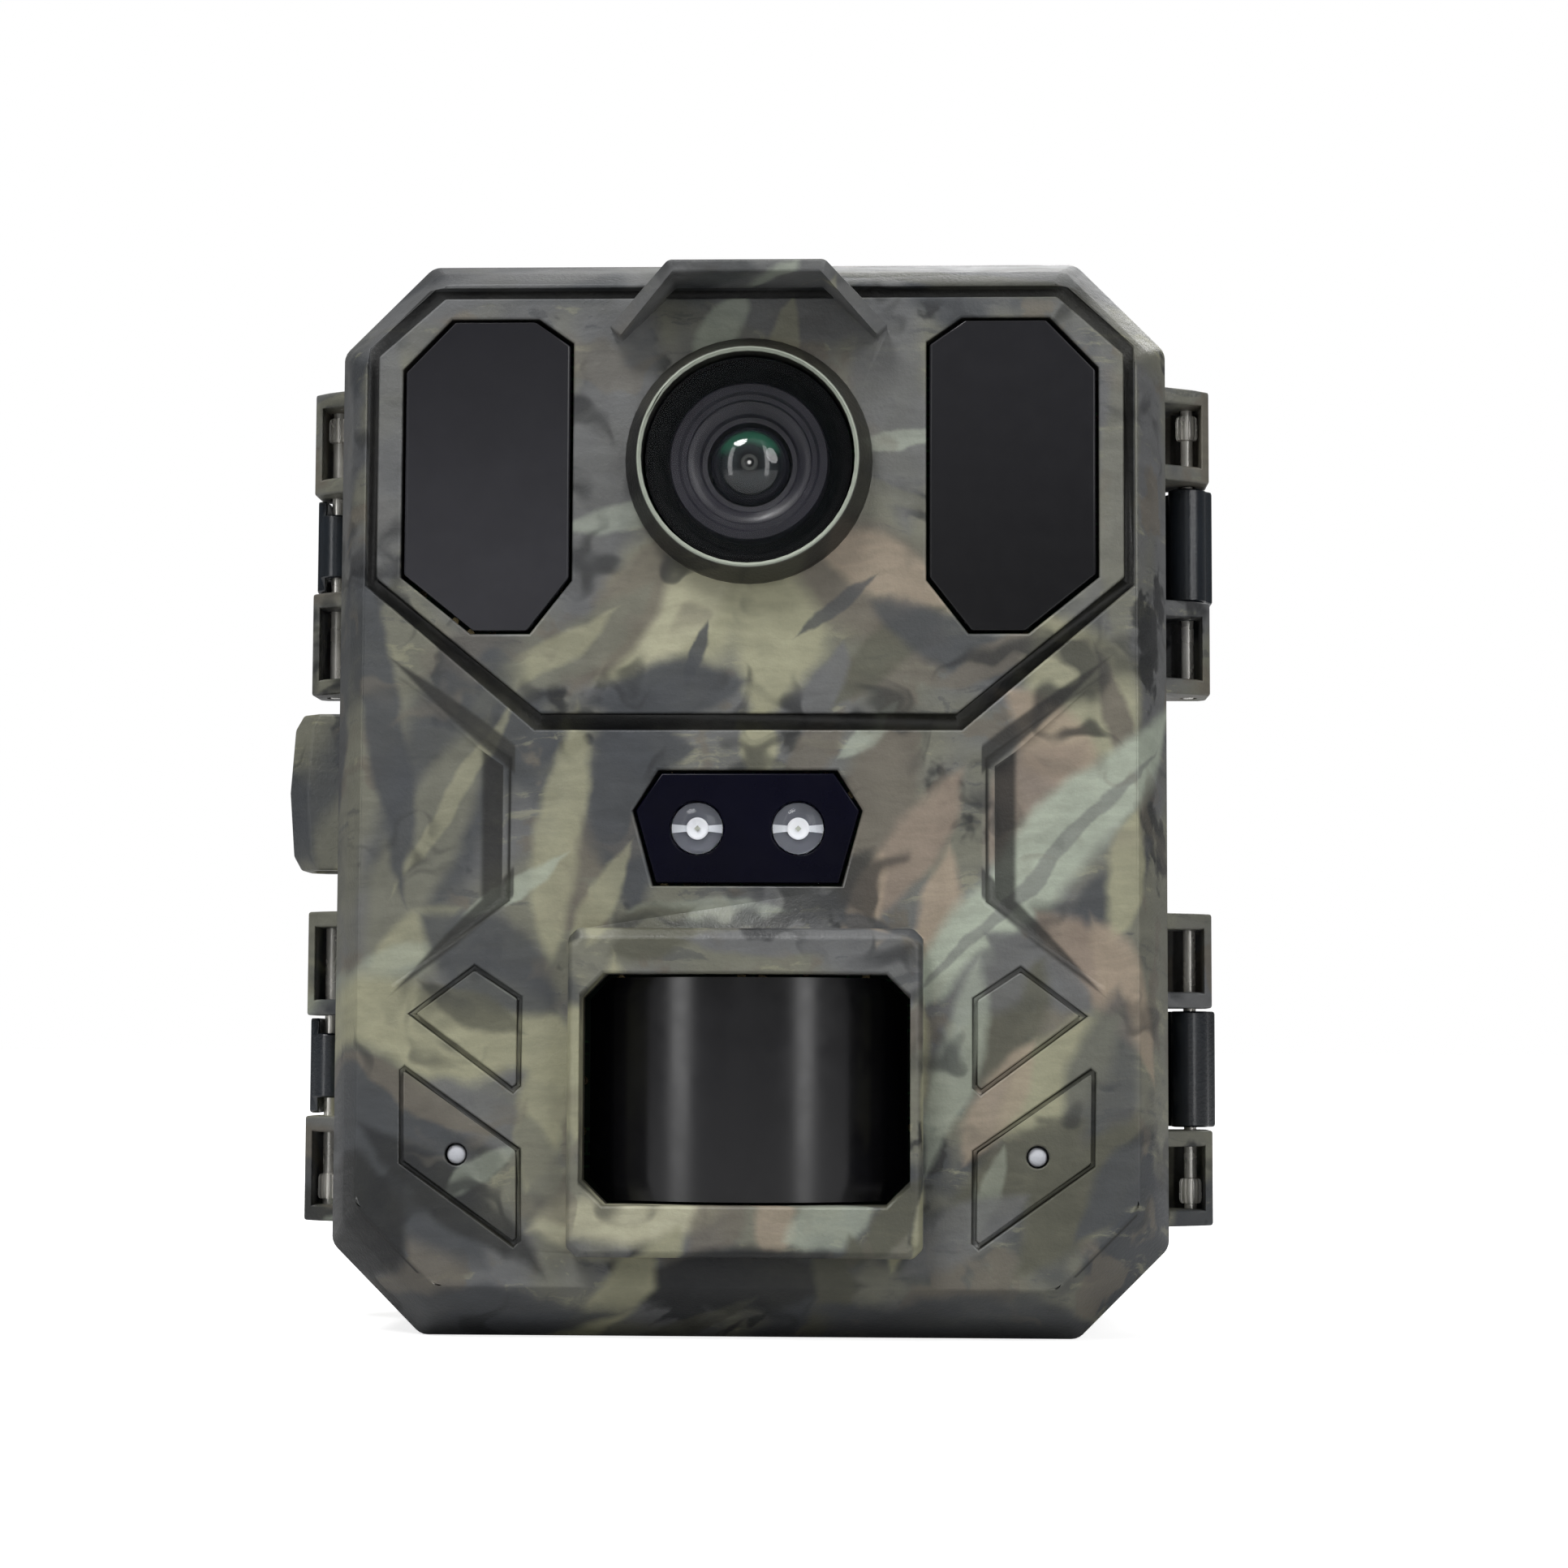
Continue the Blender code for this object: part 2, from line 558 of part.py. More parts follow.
def build_front_windows():
    for side, name in ((-1, "left"), (1, "right")):
        shape = prism_y(ir_outline(side, GAP), FRONT_FACE_Y - 0.05, FRONT_FACE_Y + 1.7)
        place("ir_window_" + name, shape, SMOKE)
        outer = max(abs(x) for x, _ in ir_outline(side)) - 1.5
        inner = LENS_RING_RADIUS + IR_LENS_GAP + 1.5
        z1 = CASE_HEIGHT - IR_TOP_DROP - 8.4
        z0 = z1 - IR_HEIGHT + 15.5
        board = box((min(side * inner, side * outer), -17.5, z0), (max(side * inner, side * outer), -16.1, z1))
        board = place("ir_led_board_" + name, board, BOARD)
        dies = [rod(1.5, -19.6, -17.2, "y", (side * (inner + 3.5 + 5.0 * i), 0, z0 + 3.5 + 5.2 * k), 8)
                for i in range(int((outer - inner - 3) // 5.0) + 1) for k in range(int((z1 - z0 - 4) // 5.2) + 1)
                if inner + 3.5 + 5.0 * i < outer - 1.5]
        join(board, merged(*dies))
    plate = place("indicator_plate", prism_y(hex_outline(GAP), FRONT_FACE_Y + 0.1, FRONT_FACE_Y + 1.6), PLATE)
    holes, half = [], LAMP_SPACING / 2
    for side in (-1, 1):
        holes.append(rod(LAMP_RADIUS + GAP - 0.15, FRONT_FACE_Y - 1, FRONT_FACE_Y + 3, "y", (side * half, 0, LAMP_Z), 24))
    cut(plate, merged(*holes))
    for side, name in ((-1, "left"), (1, "right")):
        y = FRONT_FACE_Y
        dome = [(0, y - 1.0), (1.3, y - 0.75), (2.2, y - 0.1), (LAMP_RADIUS, y + 1.0), (LAMP_RADIUS, y + 5.6),
                (LAMP_RADIUS + 0.45, y + 5.6), (LAMP_RADIUS + 0.45, y + 6.6), (0, y + 6.6)]
        place("status_lamp_" + name, turned(dome, "y", (side * half, 0, LAMP_Z), 24), CLEAR, True)
        port = rod(PORT_RADIUS + 1.0, FRONT_FACE_Y + WALL + GAP, FRONT_FACE_Y + WALL + GAP + 0.6, "y",
                   (side * PORT_PLACE[0], 0, PORT_PLACE[1]), 16)
        place("port_membrane_" + name, port, GREY)

    disc_y = FRONT_FACE_Y - LENS_RING_HEIGHT + 0.9
    radius = LENS_BORE_RADIUS - GAP
    place("lens_window", rod(radius, disc_y, disc_y + 1.0, "y", (0, 0, LENS_Z), 48), CLEAR, True)
    y = disc_y + 1.0 + GAP
    hood = [(8.6, y), (radius, y), (radius, y + 1.6), (9.4, y + 2.0), (9.4, -16.5), (8.6, -16.5)]
    place("lens_hood_ring", ring_of(hood, "y", (0, 0, LENS_Z), 32), BLACK, True)
    barrel = [(4.4, y + 2.4), (5.2, y + 1.8), (7.6, y + 0.6), (8.2, y + 0.9), (8.2, y + 4.0), (7.0, y + 4.2), (7.0, -13.2),
              (4.4, -13.2)]
    place("lens_barrel", ring_of(barrel, "y", (0, 0, LENS_Z), 32), BLACK, True)
    glass = [(0, y + 1.5), (1.6, y + 1.62), (3.0, y + 2.0), (4.05, y + 2.6), (4.05, y + 5.0), (0, y + 5.0)]
    place("lens_front_glass", turned(glass, "y", (0, 0, LENS_Z), 32), LENS, True)
    holder = place("lens_holder", box((-9.0, -13.0 + GAP, LENS_Z - 9.0), (9.0, BOARD_Y - GAP, LENS_Z + 9.0)), BLACK)
    cut(holder, rod(6.0, -14, BOARD_Y, "y", (0, 0, LENS_Z), 24))
    place("image_sensor", box((-4.5, BOARD_Y - GAP - 1.4, LENS_Z - 3.6), (4.5, BOARD_Y - GAP, LENS_Z + 3.6)), GREY)

    # the detector's lens: a shallow trough bent about a vertical axis
    front = FRONT_FACE_Y - 2.2
    steps = 12
    reach = PIR_HALF - GAP
    spread = math.asin(min(0.95, reach / PIR_LENS_RADIUS))
    bm = bmesh.new()
    rows = []
    for i in range(steps + 1):
        turn = -spread + 2 * spread * i / steps
        points = []
        for r in (PIR_LENS_RADIUS, PIR_LENS_RADIUS - PIR_LENS_WALL):
            x = r * math.sin(turn)
            y = front + PIR_LENS_RADIUS - r * math.cos(turn)
            trim = max(0.0, abs(PIR_LENS_RADIUS * math.sin(turn)) - (reach - PIR_CORNER))
            points.append([(x, y, z) for z in (PIR_LOW + GAP + trim, PIR_TOP - GAP - trim)])
        rows.append([bm.verts.new(p) for p in (points[0][0], points[0][1], points[1][1], points[1][0])])
    for here, there in zip(rows, rows[1:]):
        for i in range(4):
            j = (i + 1) % 4
            bm.faces.new((here[i], here[j], there[j], there[i]))
    bm.faces.new(rows[0][::-1])
    bm.faces.new(rows[-1])
    place("pir_lens", bm, SMOKE, True)
    middle = (PIR_LOW + PIR_TOP) / 2
    can = [(0, -14.6), (4.0, -14.6), (4.6, -14.2), (4.6, -11.0), (5.0, -11.0), (5.0, BOARD_Y - GAP), (0, BOARD_Y - GAP)]
    place("pir_sensor", turned(can, "y", (0, 0, middle), 20), NICKEL, True)


# ---------------------------------------------------------------- inside of the front housing


def key_places():
    x, z = INNER - 16.0, CASE_HEIGHT - LCD_TOP_DROP - 14.0
    return {"up": (x, z + KEY_PITCH), "down": (x, z - KEY_PITCH), "left": (x - KEY_PITCH, z),
            "right": (x + KEY_PITCH, z), "ok": (x, z)}


def lcd_box(grow=0.0):
    left = screw_places()[0][0] + BOSS_RADIUS + 2.4
    right = key_places()["left"][0] - KEY_RADIUS - 4.0
    top = CASE_HEIGHT - LCD_TOP_DROP
    return (left - grow, top - LCD_HEIGHT - grow), (right + grow, top + grow)


def switch_place():
    return key_places()["ok"][0], CASE_HEIGHT - SWITCH_DROP


def card_place():
    return -INNER + 20.0, CELL_BASE + CELL_LENGTH + SPRING_ROOM + TRAY_WALL + 3.4


def usb_place():
    return card_place()[0] + 20.0, card_place()[1]


def tray_box():
    half = 1.5 * CELL_PITCH + CELL_RADIUS + GAP
    return -half, CELL_BASE - SPRING_ROOM, half, CELL_BASE + CELL_LENGTH + SPRING_ROOM


def build_inside():
    board = place("main_board", prism_y(case_outline(WALL + 1.6), BOARD_Y, BOARD_Y + BOARD_THICK), BOARD)
    notch = [rod(BOSS_RADIUS + 0.6, BOARD_Y - 1, BOARD_Y + 3, "y", (x, 0, z), 12) for x, z in screw_places()]
    post = INSERT_RADIUS + INSERT_WALL + 0.8
    notch.append(box((-post, BOARD_Y - 1, -1), (post, BOARD_Y + 3, INSERT_LENGTH + INSERT_CAP + 0.8)))
    cut(board, merged(*notch))

    frame_back = FRAME_Y + FRAME_THICK
    frame = place("mid_frame", prism_y(case_outline(WALL + GAP), FRAME_Y, frame_back), GREY)
    x0, z0, x1, z1 = tray_box()
    rim = box((x0 - TRAY_WALL, frame_back - 0.8, z0 - TRAY_WALL), (x1 + TRAY_WALL, frame_back + TRAY_HEIGHT, z1 + TRAY_WALL))
    join(frame, rim)
    cut(frame, box((x0, frame_back + 0.2, z0), (x1, frame_back + TRAY_HEIGHT + 1, z1)))
    (lx0, lz0), (lx1, lz1) = lcd_box()
    sx, sz = switch_place()
    cx, cz = card_place()
    ux, uz = usb_place()
    behind = frame_back + 1
    openings = [box((lx0, FRAME_Y - 1, lz0), (lx1, behind, lz1)),
                box((sx - SWITCH_ROOM, FRAME_Y - 1, sz - 1.7), (sx + SWITCH_ROOM, behind, sz + 1.7)),
                box((cx - CARD_WIDTH / 2 - 0.8, FRAME_Y - 1, cz - 1.1), (cx + CARD_WIDTH / 2 + 0.8, behind, cz + 1.1)),
                box((ux - 4.9, FRAME_Y - 1, uz - 2.0), (ux + 4.9, behind, uz + 2.0))]
    openings += [rod(KEY_RADIUS + GAP, FRAME_Y - 1, behind, "y", (x, 0, z), 20) for x, z in key_places().values()]
    openings += [rod(SCREW_RADIUS + GAP - 0.1, FRAME_Y - 1, behind, "y", (x, 0, z), 12) for x, z in screw_places()]
    cut(frame, merged(*openings))
    for number, (x, z) in enumerate(screw_places(), 1):
        shank = [(0, FRAME_Y - 8), (0.9, FRAME_Y - 8), (0.9, frame_back + GAP - 0.1), (2.4, frame_back + GAP - 0.1),
                 (2.2, frame_back + 1.4), (0, frame_back + 1.5)]
        place(f"frame_screw_{number}", turned(shank, "y", (x, 0, z), 16), NICKEL, True)

    panel = box((lx0 - 1.5, FRAME_Y - GAP - 2.4, lz0 - 1.5), (lx1 + 1.5, FRAME_Y - GAP, lz1 + 1.5))
    place("lcd_panel", panel, SMOKE)
    glass = box((lx0 + GAP, FRAME_Y + 0.2, lz0 + GAP), (lx1 - GAP, frame_back - 0.4, lz1 - GAP))
    place("lcd_window", glass, CLEAR)
    for name, (x, z) in key_places().items():
        back = frame_back + KEY_STAND
        cap = [(0, BOARD_Y + BOARD_THICK + KEY_TRAVEL + 0.5), (1.2, BOARD_Y + BOARD_THICK + KEY_TRAVEL + 0.5),
               (1.2, FRAME_Y - 1.9), (KEY_RADIUS, FRAME_Y - 1.9), (KEY_RADIUS, back - 0.4), (KEY_RADIUS - 0.4, back), (0, back)]
        place("key_" + name, turned(cap, "y", (x, 0, z), 20), BLACK, True)
    knob = place("mode_switch", box((sx - 1.6, FRAME_Y - 2.4, sz - 1.4), (sx + 1.6, frame_back + 1.6, sz + 1.4)), BLACK)
    join(knob, box((sx - 2.6, FRAME_Y - 3.6, sz - 2.2), (sx + 2.6, FRAME_Y - 1.0 - GAP, sz + 2.2)))

    card_front = BOARD_Y + BOARD_THICK + 0.8
    card = box((cx - CARD_WIDTH / 2, card_front, cz - CARD_THICK / 2),
               (cx + CARD_WIDTH / 2, card_front + CARD_LENGTH, cz + CARD_THICK / 2))
    place("sd_card", card, BLACK)
    socket = box((cx - CARD_WIDTH / 2 - 1.2, BOARD_Y + BOARD_THICK + GAP, cz - 1.5),
                 (cx + CARD_WIDTH / 2 + 1.2, FRAME_Y - GAP, cz + 1.5))
    socket = place("sd_socket", socket, NICKEL)
    cut(socket, box((cx - CARD_WIDTH / 2 - 0.4, card_front - 0.2, cz - 0.85), (cx + CARD_WIDTH / 2 + 0.4, FRAME_Y + 1, cz + 0.85)))
    port = place("usb_port", box((ux - 4.4, BOARD_Y + BOARD_THICK + GAP, uz - 1.6), (ux + 4.4, frame_back - 0.6, uz + 1.6)), NICKEL)
    cut(port, box((ux - 3.9, -4, uz - 1.15), (ux + 3.9, frame_back + 1, uz + 1.15)))

    speaker = [(0, -19.4), (4.0, -19.4), (5.0, -18.6), (5.0, -16.4), (0, -16.4)]
    place("speaker", turned(speaker, "y", (PORT_PLACE[0], 0, PORT_PLACE[1]), 20), BLACK, True)
    place("microphone", rod(3.0, -20.4, -17.6, "y", (-PORT_PLACE[0], 0, PORT_PLACE[1]), 16), NICKEL, True)

    for number in range(4):
        x = (number - 1.5) * CELL_PITCH
        up = number % 2 == 0
        ends = [(0, 0), (CELL_RADIUS - 0.8, 0), (CELL_RADIUS, 0.6), (CELL_RADIUS, CELL_LENGTH - 1.8),
                (CELL_RADIUS - 0.8, CELL_LENGTH - 1.2), (2.7, CELL_LENGTH - 1.2), (2.7, CELL_LENGTH), (0, CELL_LENGTH)]
        if not up:
            ends = [(r, CELL_LENGTH - a) for r, a in ends[::-1]]
        place(f"battery_cell_{number + 1}", turned(ends, "z", (x, CELL_Y, CELL_BASE), 20), CELL, True)
        tip = CELL_BASE - GAP if up else CELL_BASE + CELL_LENGTH + GAP
        root = z0 + 0.5 + GAP if up else z1 - 0.5 - GAP
        low, high = min(tip, root), max(tip, root)
        below, above = (SPRING_WIDE, SPRING_NARROW) if up else (SPRING_NARROW, SPRING_WIDE)
        cone = [(below, low), (above, high), (above - SPRING_WIRE, high), (below - SPRING_WIRE, low)]
        place(f"cell_spring_{number + 1}", ring_of(cone, "z", (x, CELL_Y, 0), 16), NICKEL, True)
    thick = 0.5
    place("contact_strip_bottom", box((x0 + 0.8, frame_back + 0.5, z0 + GAP * 0.5), (x1 - 0.8, CELL_Y + 4, z0 + thick)), NICKEL)
    place("contact_strip_top", box((x0 + 0.8, frame_back + 0.5, z1 - thick), (x1 - 0.8, CELL_Y + 4, z1 - GAP * 0.5)), NICKEL)

    outer, inner = case_outline(WALL + 0.9), case_outline(WALL + 2.5)
    bm = bmesh.new()
    rows = [[bm.verts.new(p) for p in at(line, y)] for line, y in
            ((outer, frame_back + GAP), (outer, SEAM_Y - 0.1), (inner, SEAM_Y - 0.1), (inner, frame_back + GAP))]
    for here, there in zip(rows, rows[1:] + rows[:1]):
        for i in range(8):
            j = (i + 1) % 8
            bm.faces.new((here[i], here[j], there[j], there[i]))
    place("seal_gasket", bm, SEAL)
    insert = sleeve(INSERT_BORE, INSERT_RADIUS, 0.0, INSERT_LENGTH - 0.6, "z", (0, INSERT_Y, 0), 24)
    place("tripod_insert", insert, BRASS, True)


# ---------------------------------------------------------------- rear cover and hardware


def bridge_blocks():
    """Two upright bridges on the rear face that hold the strap, with the slot cut through each."""
    solids, slots = [], []
    back = REAR_FACE_Y + STRAP_ROOM + STRAP_BRIDGE
    low, high = BRIDGE_MIDDLE - STRAP_WIDTH / 2, BRIDGE_MIDDLE + STRAP_WIDTH / 2
    for side in (-1, 1):
        x0, x1 = side * BRIDGE_X - BRIDGE_HALF_WIDTH, side * BRIDGE_X + BRIDGE_HALF_WIDTH
        outline = [(REAR_FACE_Y - 1, low - 10), (REAR_FACE_Y, low - 9.5), (back, low - 3.5), (back, high + 3.5),
                   (REAR_FACE_Y, high + 9.5), (REAR_FACE_Y - 1, high + 10)]
        solids.append(loft([[(x, y, z) for y, z in outline] for x in (x0, x1)]))
        slots.append(box((x0 - 1, REAR_FACE_Y, low), (x1 + 1, REAR_FACE_Y + STRAP_ROOM, high)))
    return solids, slots


def build_rear_cover():
    front = SEAM_Y + GAP
    far = octagon(HALF - REAR_SLOPE, REAR_SLOPE * 0.8, CASE_HEIGHT - REAR_SLOPE * 0.8, CASE_CHAMFER - 1.2)
    rings = [at(rounded(case_outline()), front), at(rounded(case_outline()), REAR_FACE_Y - REAR_SLOPE),
             at(rounded(far), REAR_FACE_Y)]
    cover = place("rear_cover", loft(rings), CAMO)
    inner = case_outline(WALL)
    small = case_outline(WALL + 2.6)
    hollow = [at(inner, front - 1), at(inner, REAR_FACE_Y - REAR_SLOPE - 0.6), at(small, REAR_FACE_Y - WALL)]
    solids, slots = bridge_blocks()
    join(cover, merged(*solids))
    catches = []
    for low, high in set_spans().values():
        middle, half = (low + high) / 2, LEVER_LENGTH / 2 - 0.6
        outline = [(-HALF + 0.6, CATCH_Y - 4.2), (-HALF - CATCH_REACH, CATCH_Y - 1.2),
                   (-HALF - CATCH_REACH, CATCH_Y), (-HALF + 0.6, CATCH_Y)]
        catches.append(prism_z(outline, middle - half, middle + half))
    join(cover, merged(*catches))
    cut(cover, loft(hollow))
    cut(cover, merged(*slots))
    holes = [rod(0.95, HALF - WALL - 1, HALF + 1, "x", (0, SEAM_Y + 7.0, (low + high) / 2), 12)
             for low, high in set_spans().values()]
    return cut(cover, merged(*holes))


def build_side_hardware():
    for name, (low, high) in set_spans().items():
        middle = (low + high) / 2
        for side, kind in ((1, "hinge_pin_"), (-1, "latch_pin_")):
            end = high if name == "upper" else low
            way = -1 if name == "upper" else 1
            profile = [(0, 0), (PIN_RADIUS, 0), (PIN_RADIUS, 2.0), (SPLINE_RADIUS - 0.1, 2.1), (SPLINE_RADIUS, 2.3),
                       (SPLINE_RADIUS, 4.7), (PIN_RADIUS, 5.0), (PIN_RADIUS, SET_LENGTH), (0, SET_LENGTH)]
            if way < 0:
                points = [(r, end - a) for r, a in profile[::-1]]
            else:
                points = [(r, end + a) for r, a in profile]
            place(kind + name, turned(points, "z", (side * PIN_X, PIN_Y, 0), 16), NICKEL, True)

        # hinge arm: a barrel on the pin and a plate along the cover's side
        half = ARM_LENGTH / 2
        outer = HALF + KNUCKLE_REACH + 0.6
        arm = place("hinge_arm_" + name, rod(BARREL_RADIUS, middle - half, middle + half, "z", (PIN_X, PIN_Y, 0), 24), BLACK)
        plate = [(PIN_X - 0.4, PIN_Y + 0.2), (PIN_X + 1.2, PIN_Y - 0.9), (outer, PIN_Y + 0.8), (outer, SEAM_Y + 0.4),
                 (HALF + 2.6, SEAM_Y + 3.6), (HALF + 2.6, SEAM_Y + 10.0), (HALF + GAP, SEAM_Y + 11.0),
                 (HALF + GAP, SEAM_Y + GAP + 1.6), (PIN_X - 1.4, PIN_Y + 1.6)]
        join(arm, prism_z(plate, middle - half, middle + half))
        cut(arm, merged(rod(PIN_RADIUS + PIN_CLEARANCE, middle - half - 1, middle + half + 1, "z", (PIN_X, PIN_Y, 0), 16)))
        cut(arm, rod(1.2, HALF - 1, HALF + 5, "x", (0, SEAM_Y + 7.0, middle), 12))
        x = HALF + 2.6
        screw = [(0, HALF - 4.2), (0.65, HALF - 4.2), (0.65, x + 0.15), (1.9, x + 0.15), (1.7, x + 1.1), (0, x + 1.2)]
        place("arm_screw_" + name, turned(screw, "x", (0, SEAM_Y + 7.0, middle), 16), NICKEL, True)

        # latch lever: a short barrel, a long plate and a hook behind the cover's catch
        half = LEVER_LENGTH / 2
        short = LEVER_BARREL_LENGTH / 2
        lever = place("latch_lever_" + name,
                      rod(BARREL_RADIUS, middle - short, middle + short, "z", (-PIN_X, PIN_Y, 0), 24), BLACK)
        face = -HALF - KNUCKLE_REACH + 0.1
        inner = -HALF - CATCH_REACH - 0.7
        web = [(-PIN_X - 0.2, PIN_Y - 1.0), (face + 0.8, PIN_Y - 1.2), (face + 0.8, PIN_Y + 4.0), (-PIN_X - 0.2, PIN_Y + 2.0)]
        join(lever, prism_z(web, middle - short, middle + short))
        hook_y = CATCH_Y + GAP
        plate = [(face + 1.1, PIN_Y - 1.6), (face, PIN_Y - 0.8), (face, PIN_Y + 3.0), (inner - 1.5, SEAM_Y + 6.0),
                 (inner - 1.5, hook_y + 4.4), (inner - 0.6, hook_y + 5.4), (inner, hook_y + 3.2), (inner + 1.5, hook_y + 1.6),
                 (inner + 1.5, hook_y), (inner, hook_y), (inner, SEAM_Y + 6.0), (face + 1.1, PIN_Y + 3.8)]
        join(lever, prism_z(plate, middle - half, middle + half))
        cut(lever, rod(PIN_RADIUS + PIN_CLEARANCE, middle - half - 1, middle + half + 1, "z", (-PIN_X, PIN_Y, 0), 16))


def pivots():
    """Where each moving piece turns or slides."""
    middles = {name: (low + high) / 2 for name, (low, high) in set_spans().items()}
    hinge = (PIN_X, PIN_Y, sum(middles.values()) / 2)
    places = {"rear_cover": hinge}
    for name, middle in middles.items():
        places["hinge_arm_" + name] = hinge
        places["arm_screw_" + name] = hinge
        places["latch_lever_" + name] = (-PIN_X, PIN_Y, middle)
    for name, (x, z) in key_places().items():
        places["key_" + name] = (x, FRAME_Y + FRAME_THICK, z)
    places["mode_switch"] = (switch_place()[0], FRAME_Y + FRAME_THICK, switch_place()[1])
    places["sd_card"] = (card_place()[0], FRAME_Y, card_place()[1])
    return places


def set_origins():
    """Moves each moving piece's origin to its joint's axis, and hangs the hinge arms on the cover."""
    for name, point in pivots().items():
        thing = bpy.data.objects[name]
        middle = Vector(point) * MM
        thing.data.transform(Matrix.Translation(-middle))
        thing.location = middle
    cover = bpy.data.objects["rear_cover"]
    for name in set_spans():
        for kind in ("hinge_arm_", "arm_screw_"):
            bpy.data.objects[kind + name].parent = cover
            bpy.data.objects[kind + name].location = (0, 0, 0)


def main():
    clear_scene()
    build_front_shell()
    build_front_windows()
    build_inside()
    build_rear_cover()
    build_side_hardware()
    for thing in bpy.data.objects:
        thing.data.transform(Matrix.Scale(MM, 4))
    set_origins()


main()
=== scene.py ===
import json
import math

import bmesh
import bpy
from mathutils import Matrix, Vector


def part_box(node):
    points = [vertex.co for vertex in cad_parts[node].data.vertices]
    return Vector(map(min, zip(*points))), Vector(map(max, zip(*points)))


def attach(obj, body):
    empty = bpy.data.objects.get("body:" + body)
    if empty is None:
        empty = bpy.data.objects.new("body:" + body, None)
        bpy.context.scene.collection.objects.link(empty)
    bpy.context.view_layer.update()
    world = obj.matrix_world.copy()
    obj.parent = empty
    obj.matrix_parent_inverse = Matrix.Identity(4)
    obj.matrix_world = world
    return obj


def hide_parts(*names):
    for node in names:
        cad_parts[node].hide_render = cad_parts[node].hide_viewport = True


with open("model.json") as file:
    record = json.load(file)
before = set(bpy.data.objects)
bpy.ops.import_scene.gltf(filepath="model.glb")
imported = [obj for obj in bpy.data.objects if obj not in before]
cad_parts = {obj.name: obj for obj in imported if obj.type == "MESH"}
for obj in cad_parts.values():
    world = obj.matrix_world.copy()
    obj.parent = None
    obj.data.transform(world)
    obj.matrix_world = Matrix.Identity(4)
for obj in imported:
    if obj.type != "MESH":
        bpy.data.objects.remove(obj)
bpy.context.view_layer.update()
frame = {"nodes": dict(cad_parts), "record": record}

nodes = frame["nodes"]
bodyOf = {name: body for body, members in frame["record"]["behaviour"]["bodies"].items() for name in members}
mm = 0.001
print("frame loaded:", len(nodes), "nodes")


# camera, floor and light

view = {"eye": (0.016918, -0.367683, 0.029332), "aim": (0.003715, -0.024, 0.0564), "roll": 0.234,
        "lens": 77.74, "sensor": 36.0, "clip": (0.005, 100.0)}


def setCamera():
    data = bpy.data.cameras.new("viewCamera")
    data.lens = view["lens"]
    data.sensor_width = view["sensor"]
    data.sensor_fit = "HORIZONTAL"
    data.clip_start, data.clip_end = view["clip"]
    camera = bpy.data.objects.new("viewCamera", data)
    bpy.context.scene.collection.objects.link(camera)
    eye, aim = Vector(view["eye"]), Vector(view["aim"])
    ahead = (aim - eye).normalized()
    right = ahead.cross(Vector((0, 0, 1))).normalized()
    above = right.cross(ahead)
    roll = math.radians(view["roll"])
    side = right * math.cos(roll) + above * math.sin(roll)
    rise = above * math.cos(roll) - right * math.sin(roll)
    turn = Matrix((side, rise, -ahead)).transposed().to_4x4()
    camera.matrix_world = Matrix.Translation(eye) @ turn
    bpy.context.scene.camera = camera


def tint(red, green, blue):  # screen values 0-255 to the linear colour that a shader takes
    channels = [value / 255 for value in (red, green, blue)]
    return (*[c / 12.92 if c <= 0.04045 else ((c + 0.055) / 1.055) ** 2.4 for c in channels], 1.0)


def feed(tree, sockets, inputs):  # an input is linked when it comes from a node, and set when it is a value
    for key, value in inputs.items():
        if isinstance(value, bpy.types.NodeSocket):
            tree.links.new(value, sockets[key])
        else:
            sockets[key].default_value = value


def wire(tree, kind, inputs=None, **settings):  # one node, with its settings and its inputs set or linked
    node = tree.nodes.new("ShaderNode" + kind)
    for key, value in settings.items():
        setattr(node, key, value)
    feed(tree, node.inputs, inputs or {})
    return node


def calc(tree, operation, *values):
    return wire(tree, "Math", dict(enumerate(values)), operation=operation).outputs[0]


def product(tree, first, *others):  # several factors multiplied in turn
    for other in others:
        first = calc(tree, "MULTIPLY", first, other)
    return first


def ramp(tree, value, low, high, start=0.0, end=1.0):  # eased from one value to another
    return wire(tree, "MapRange", {0: value, 1: low, 2: high, 3: start, 4: end},
                interpolation_type="SMOOTHSTEP").outputs[0]


def blend(tree, factor, first, second, mode="MIX"):
    return wire(tree, "Mix", {0: factor, 6: first, 7: second}, data_type="RGBA", blend_type=mode).outputs[2]


def noise(tree, place, scale, detail=2.0, roughness=0.5, output=0):
    return wire(tree, "TexNoise", {"Vector": place, "Scale": scale, "Detail": detail,
                                   "Roughness": roughness}).outputs[output]


def here(tree):  # the place on the piece, in metres
    return wire(tree, "TexCoord").outputs["Object"]


def inMillimetres(tree, spot):
    scaled = wire(tree, "VectorMath", {0: spot, "Scale": 1000.0}, operation="SCALE").outputs[0]
    return wire(tree, "SeparateXYZ", {0: scaled}).outputs


def radial(tree, side, rise):  # how far a place is from an axis
    return calc(tree, "SQRT", calc(tree, "ADD", product(tree, side, side), product(tree, rise, rise)))


sky = {"fill": 0.16, "strips": ((-39.0, 9.0, 0.8), (29.8, 8.0, 0.8)), "card": (-6.5, 8.0, 1.0),
       "above": (25.0, 80.0, 0.5), "stripRise": (-60.0, -20.0, 75.0, 40.0), "cardRise": (2.5, 7.0, 17.0, 8.0)}
white = (1.0, 1.0, 1.0, 1.0)


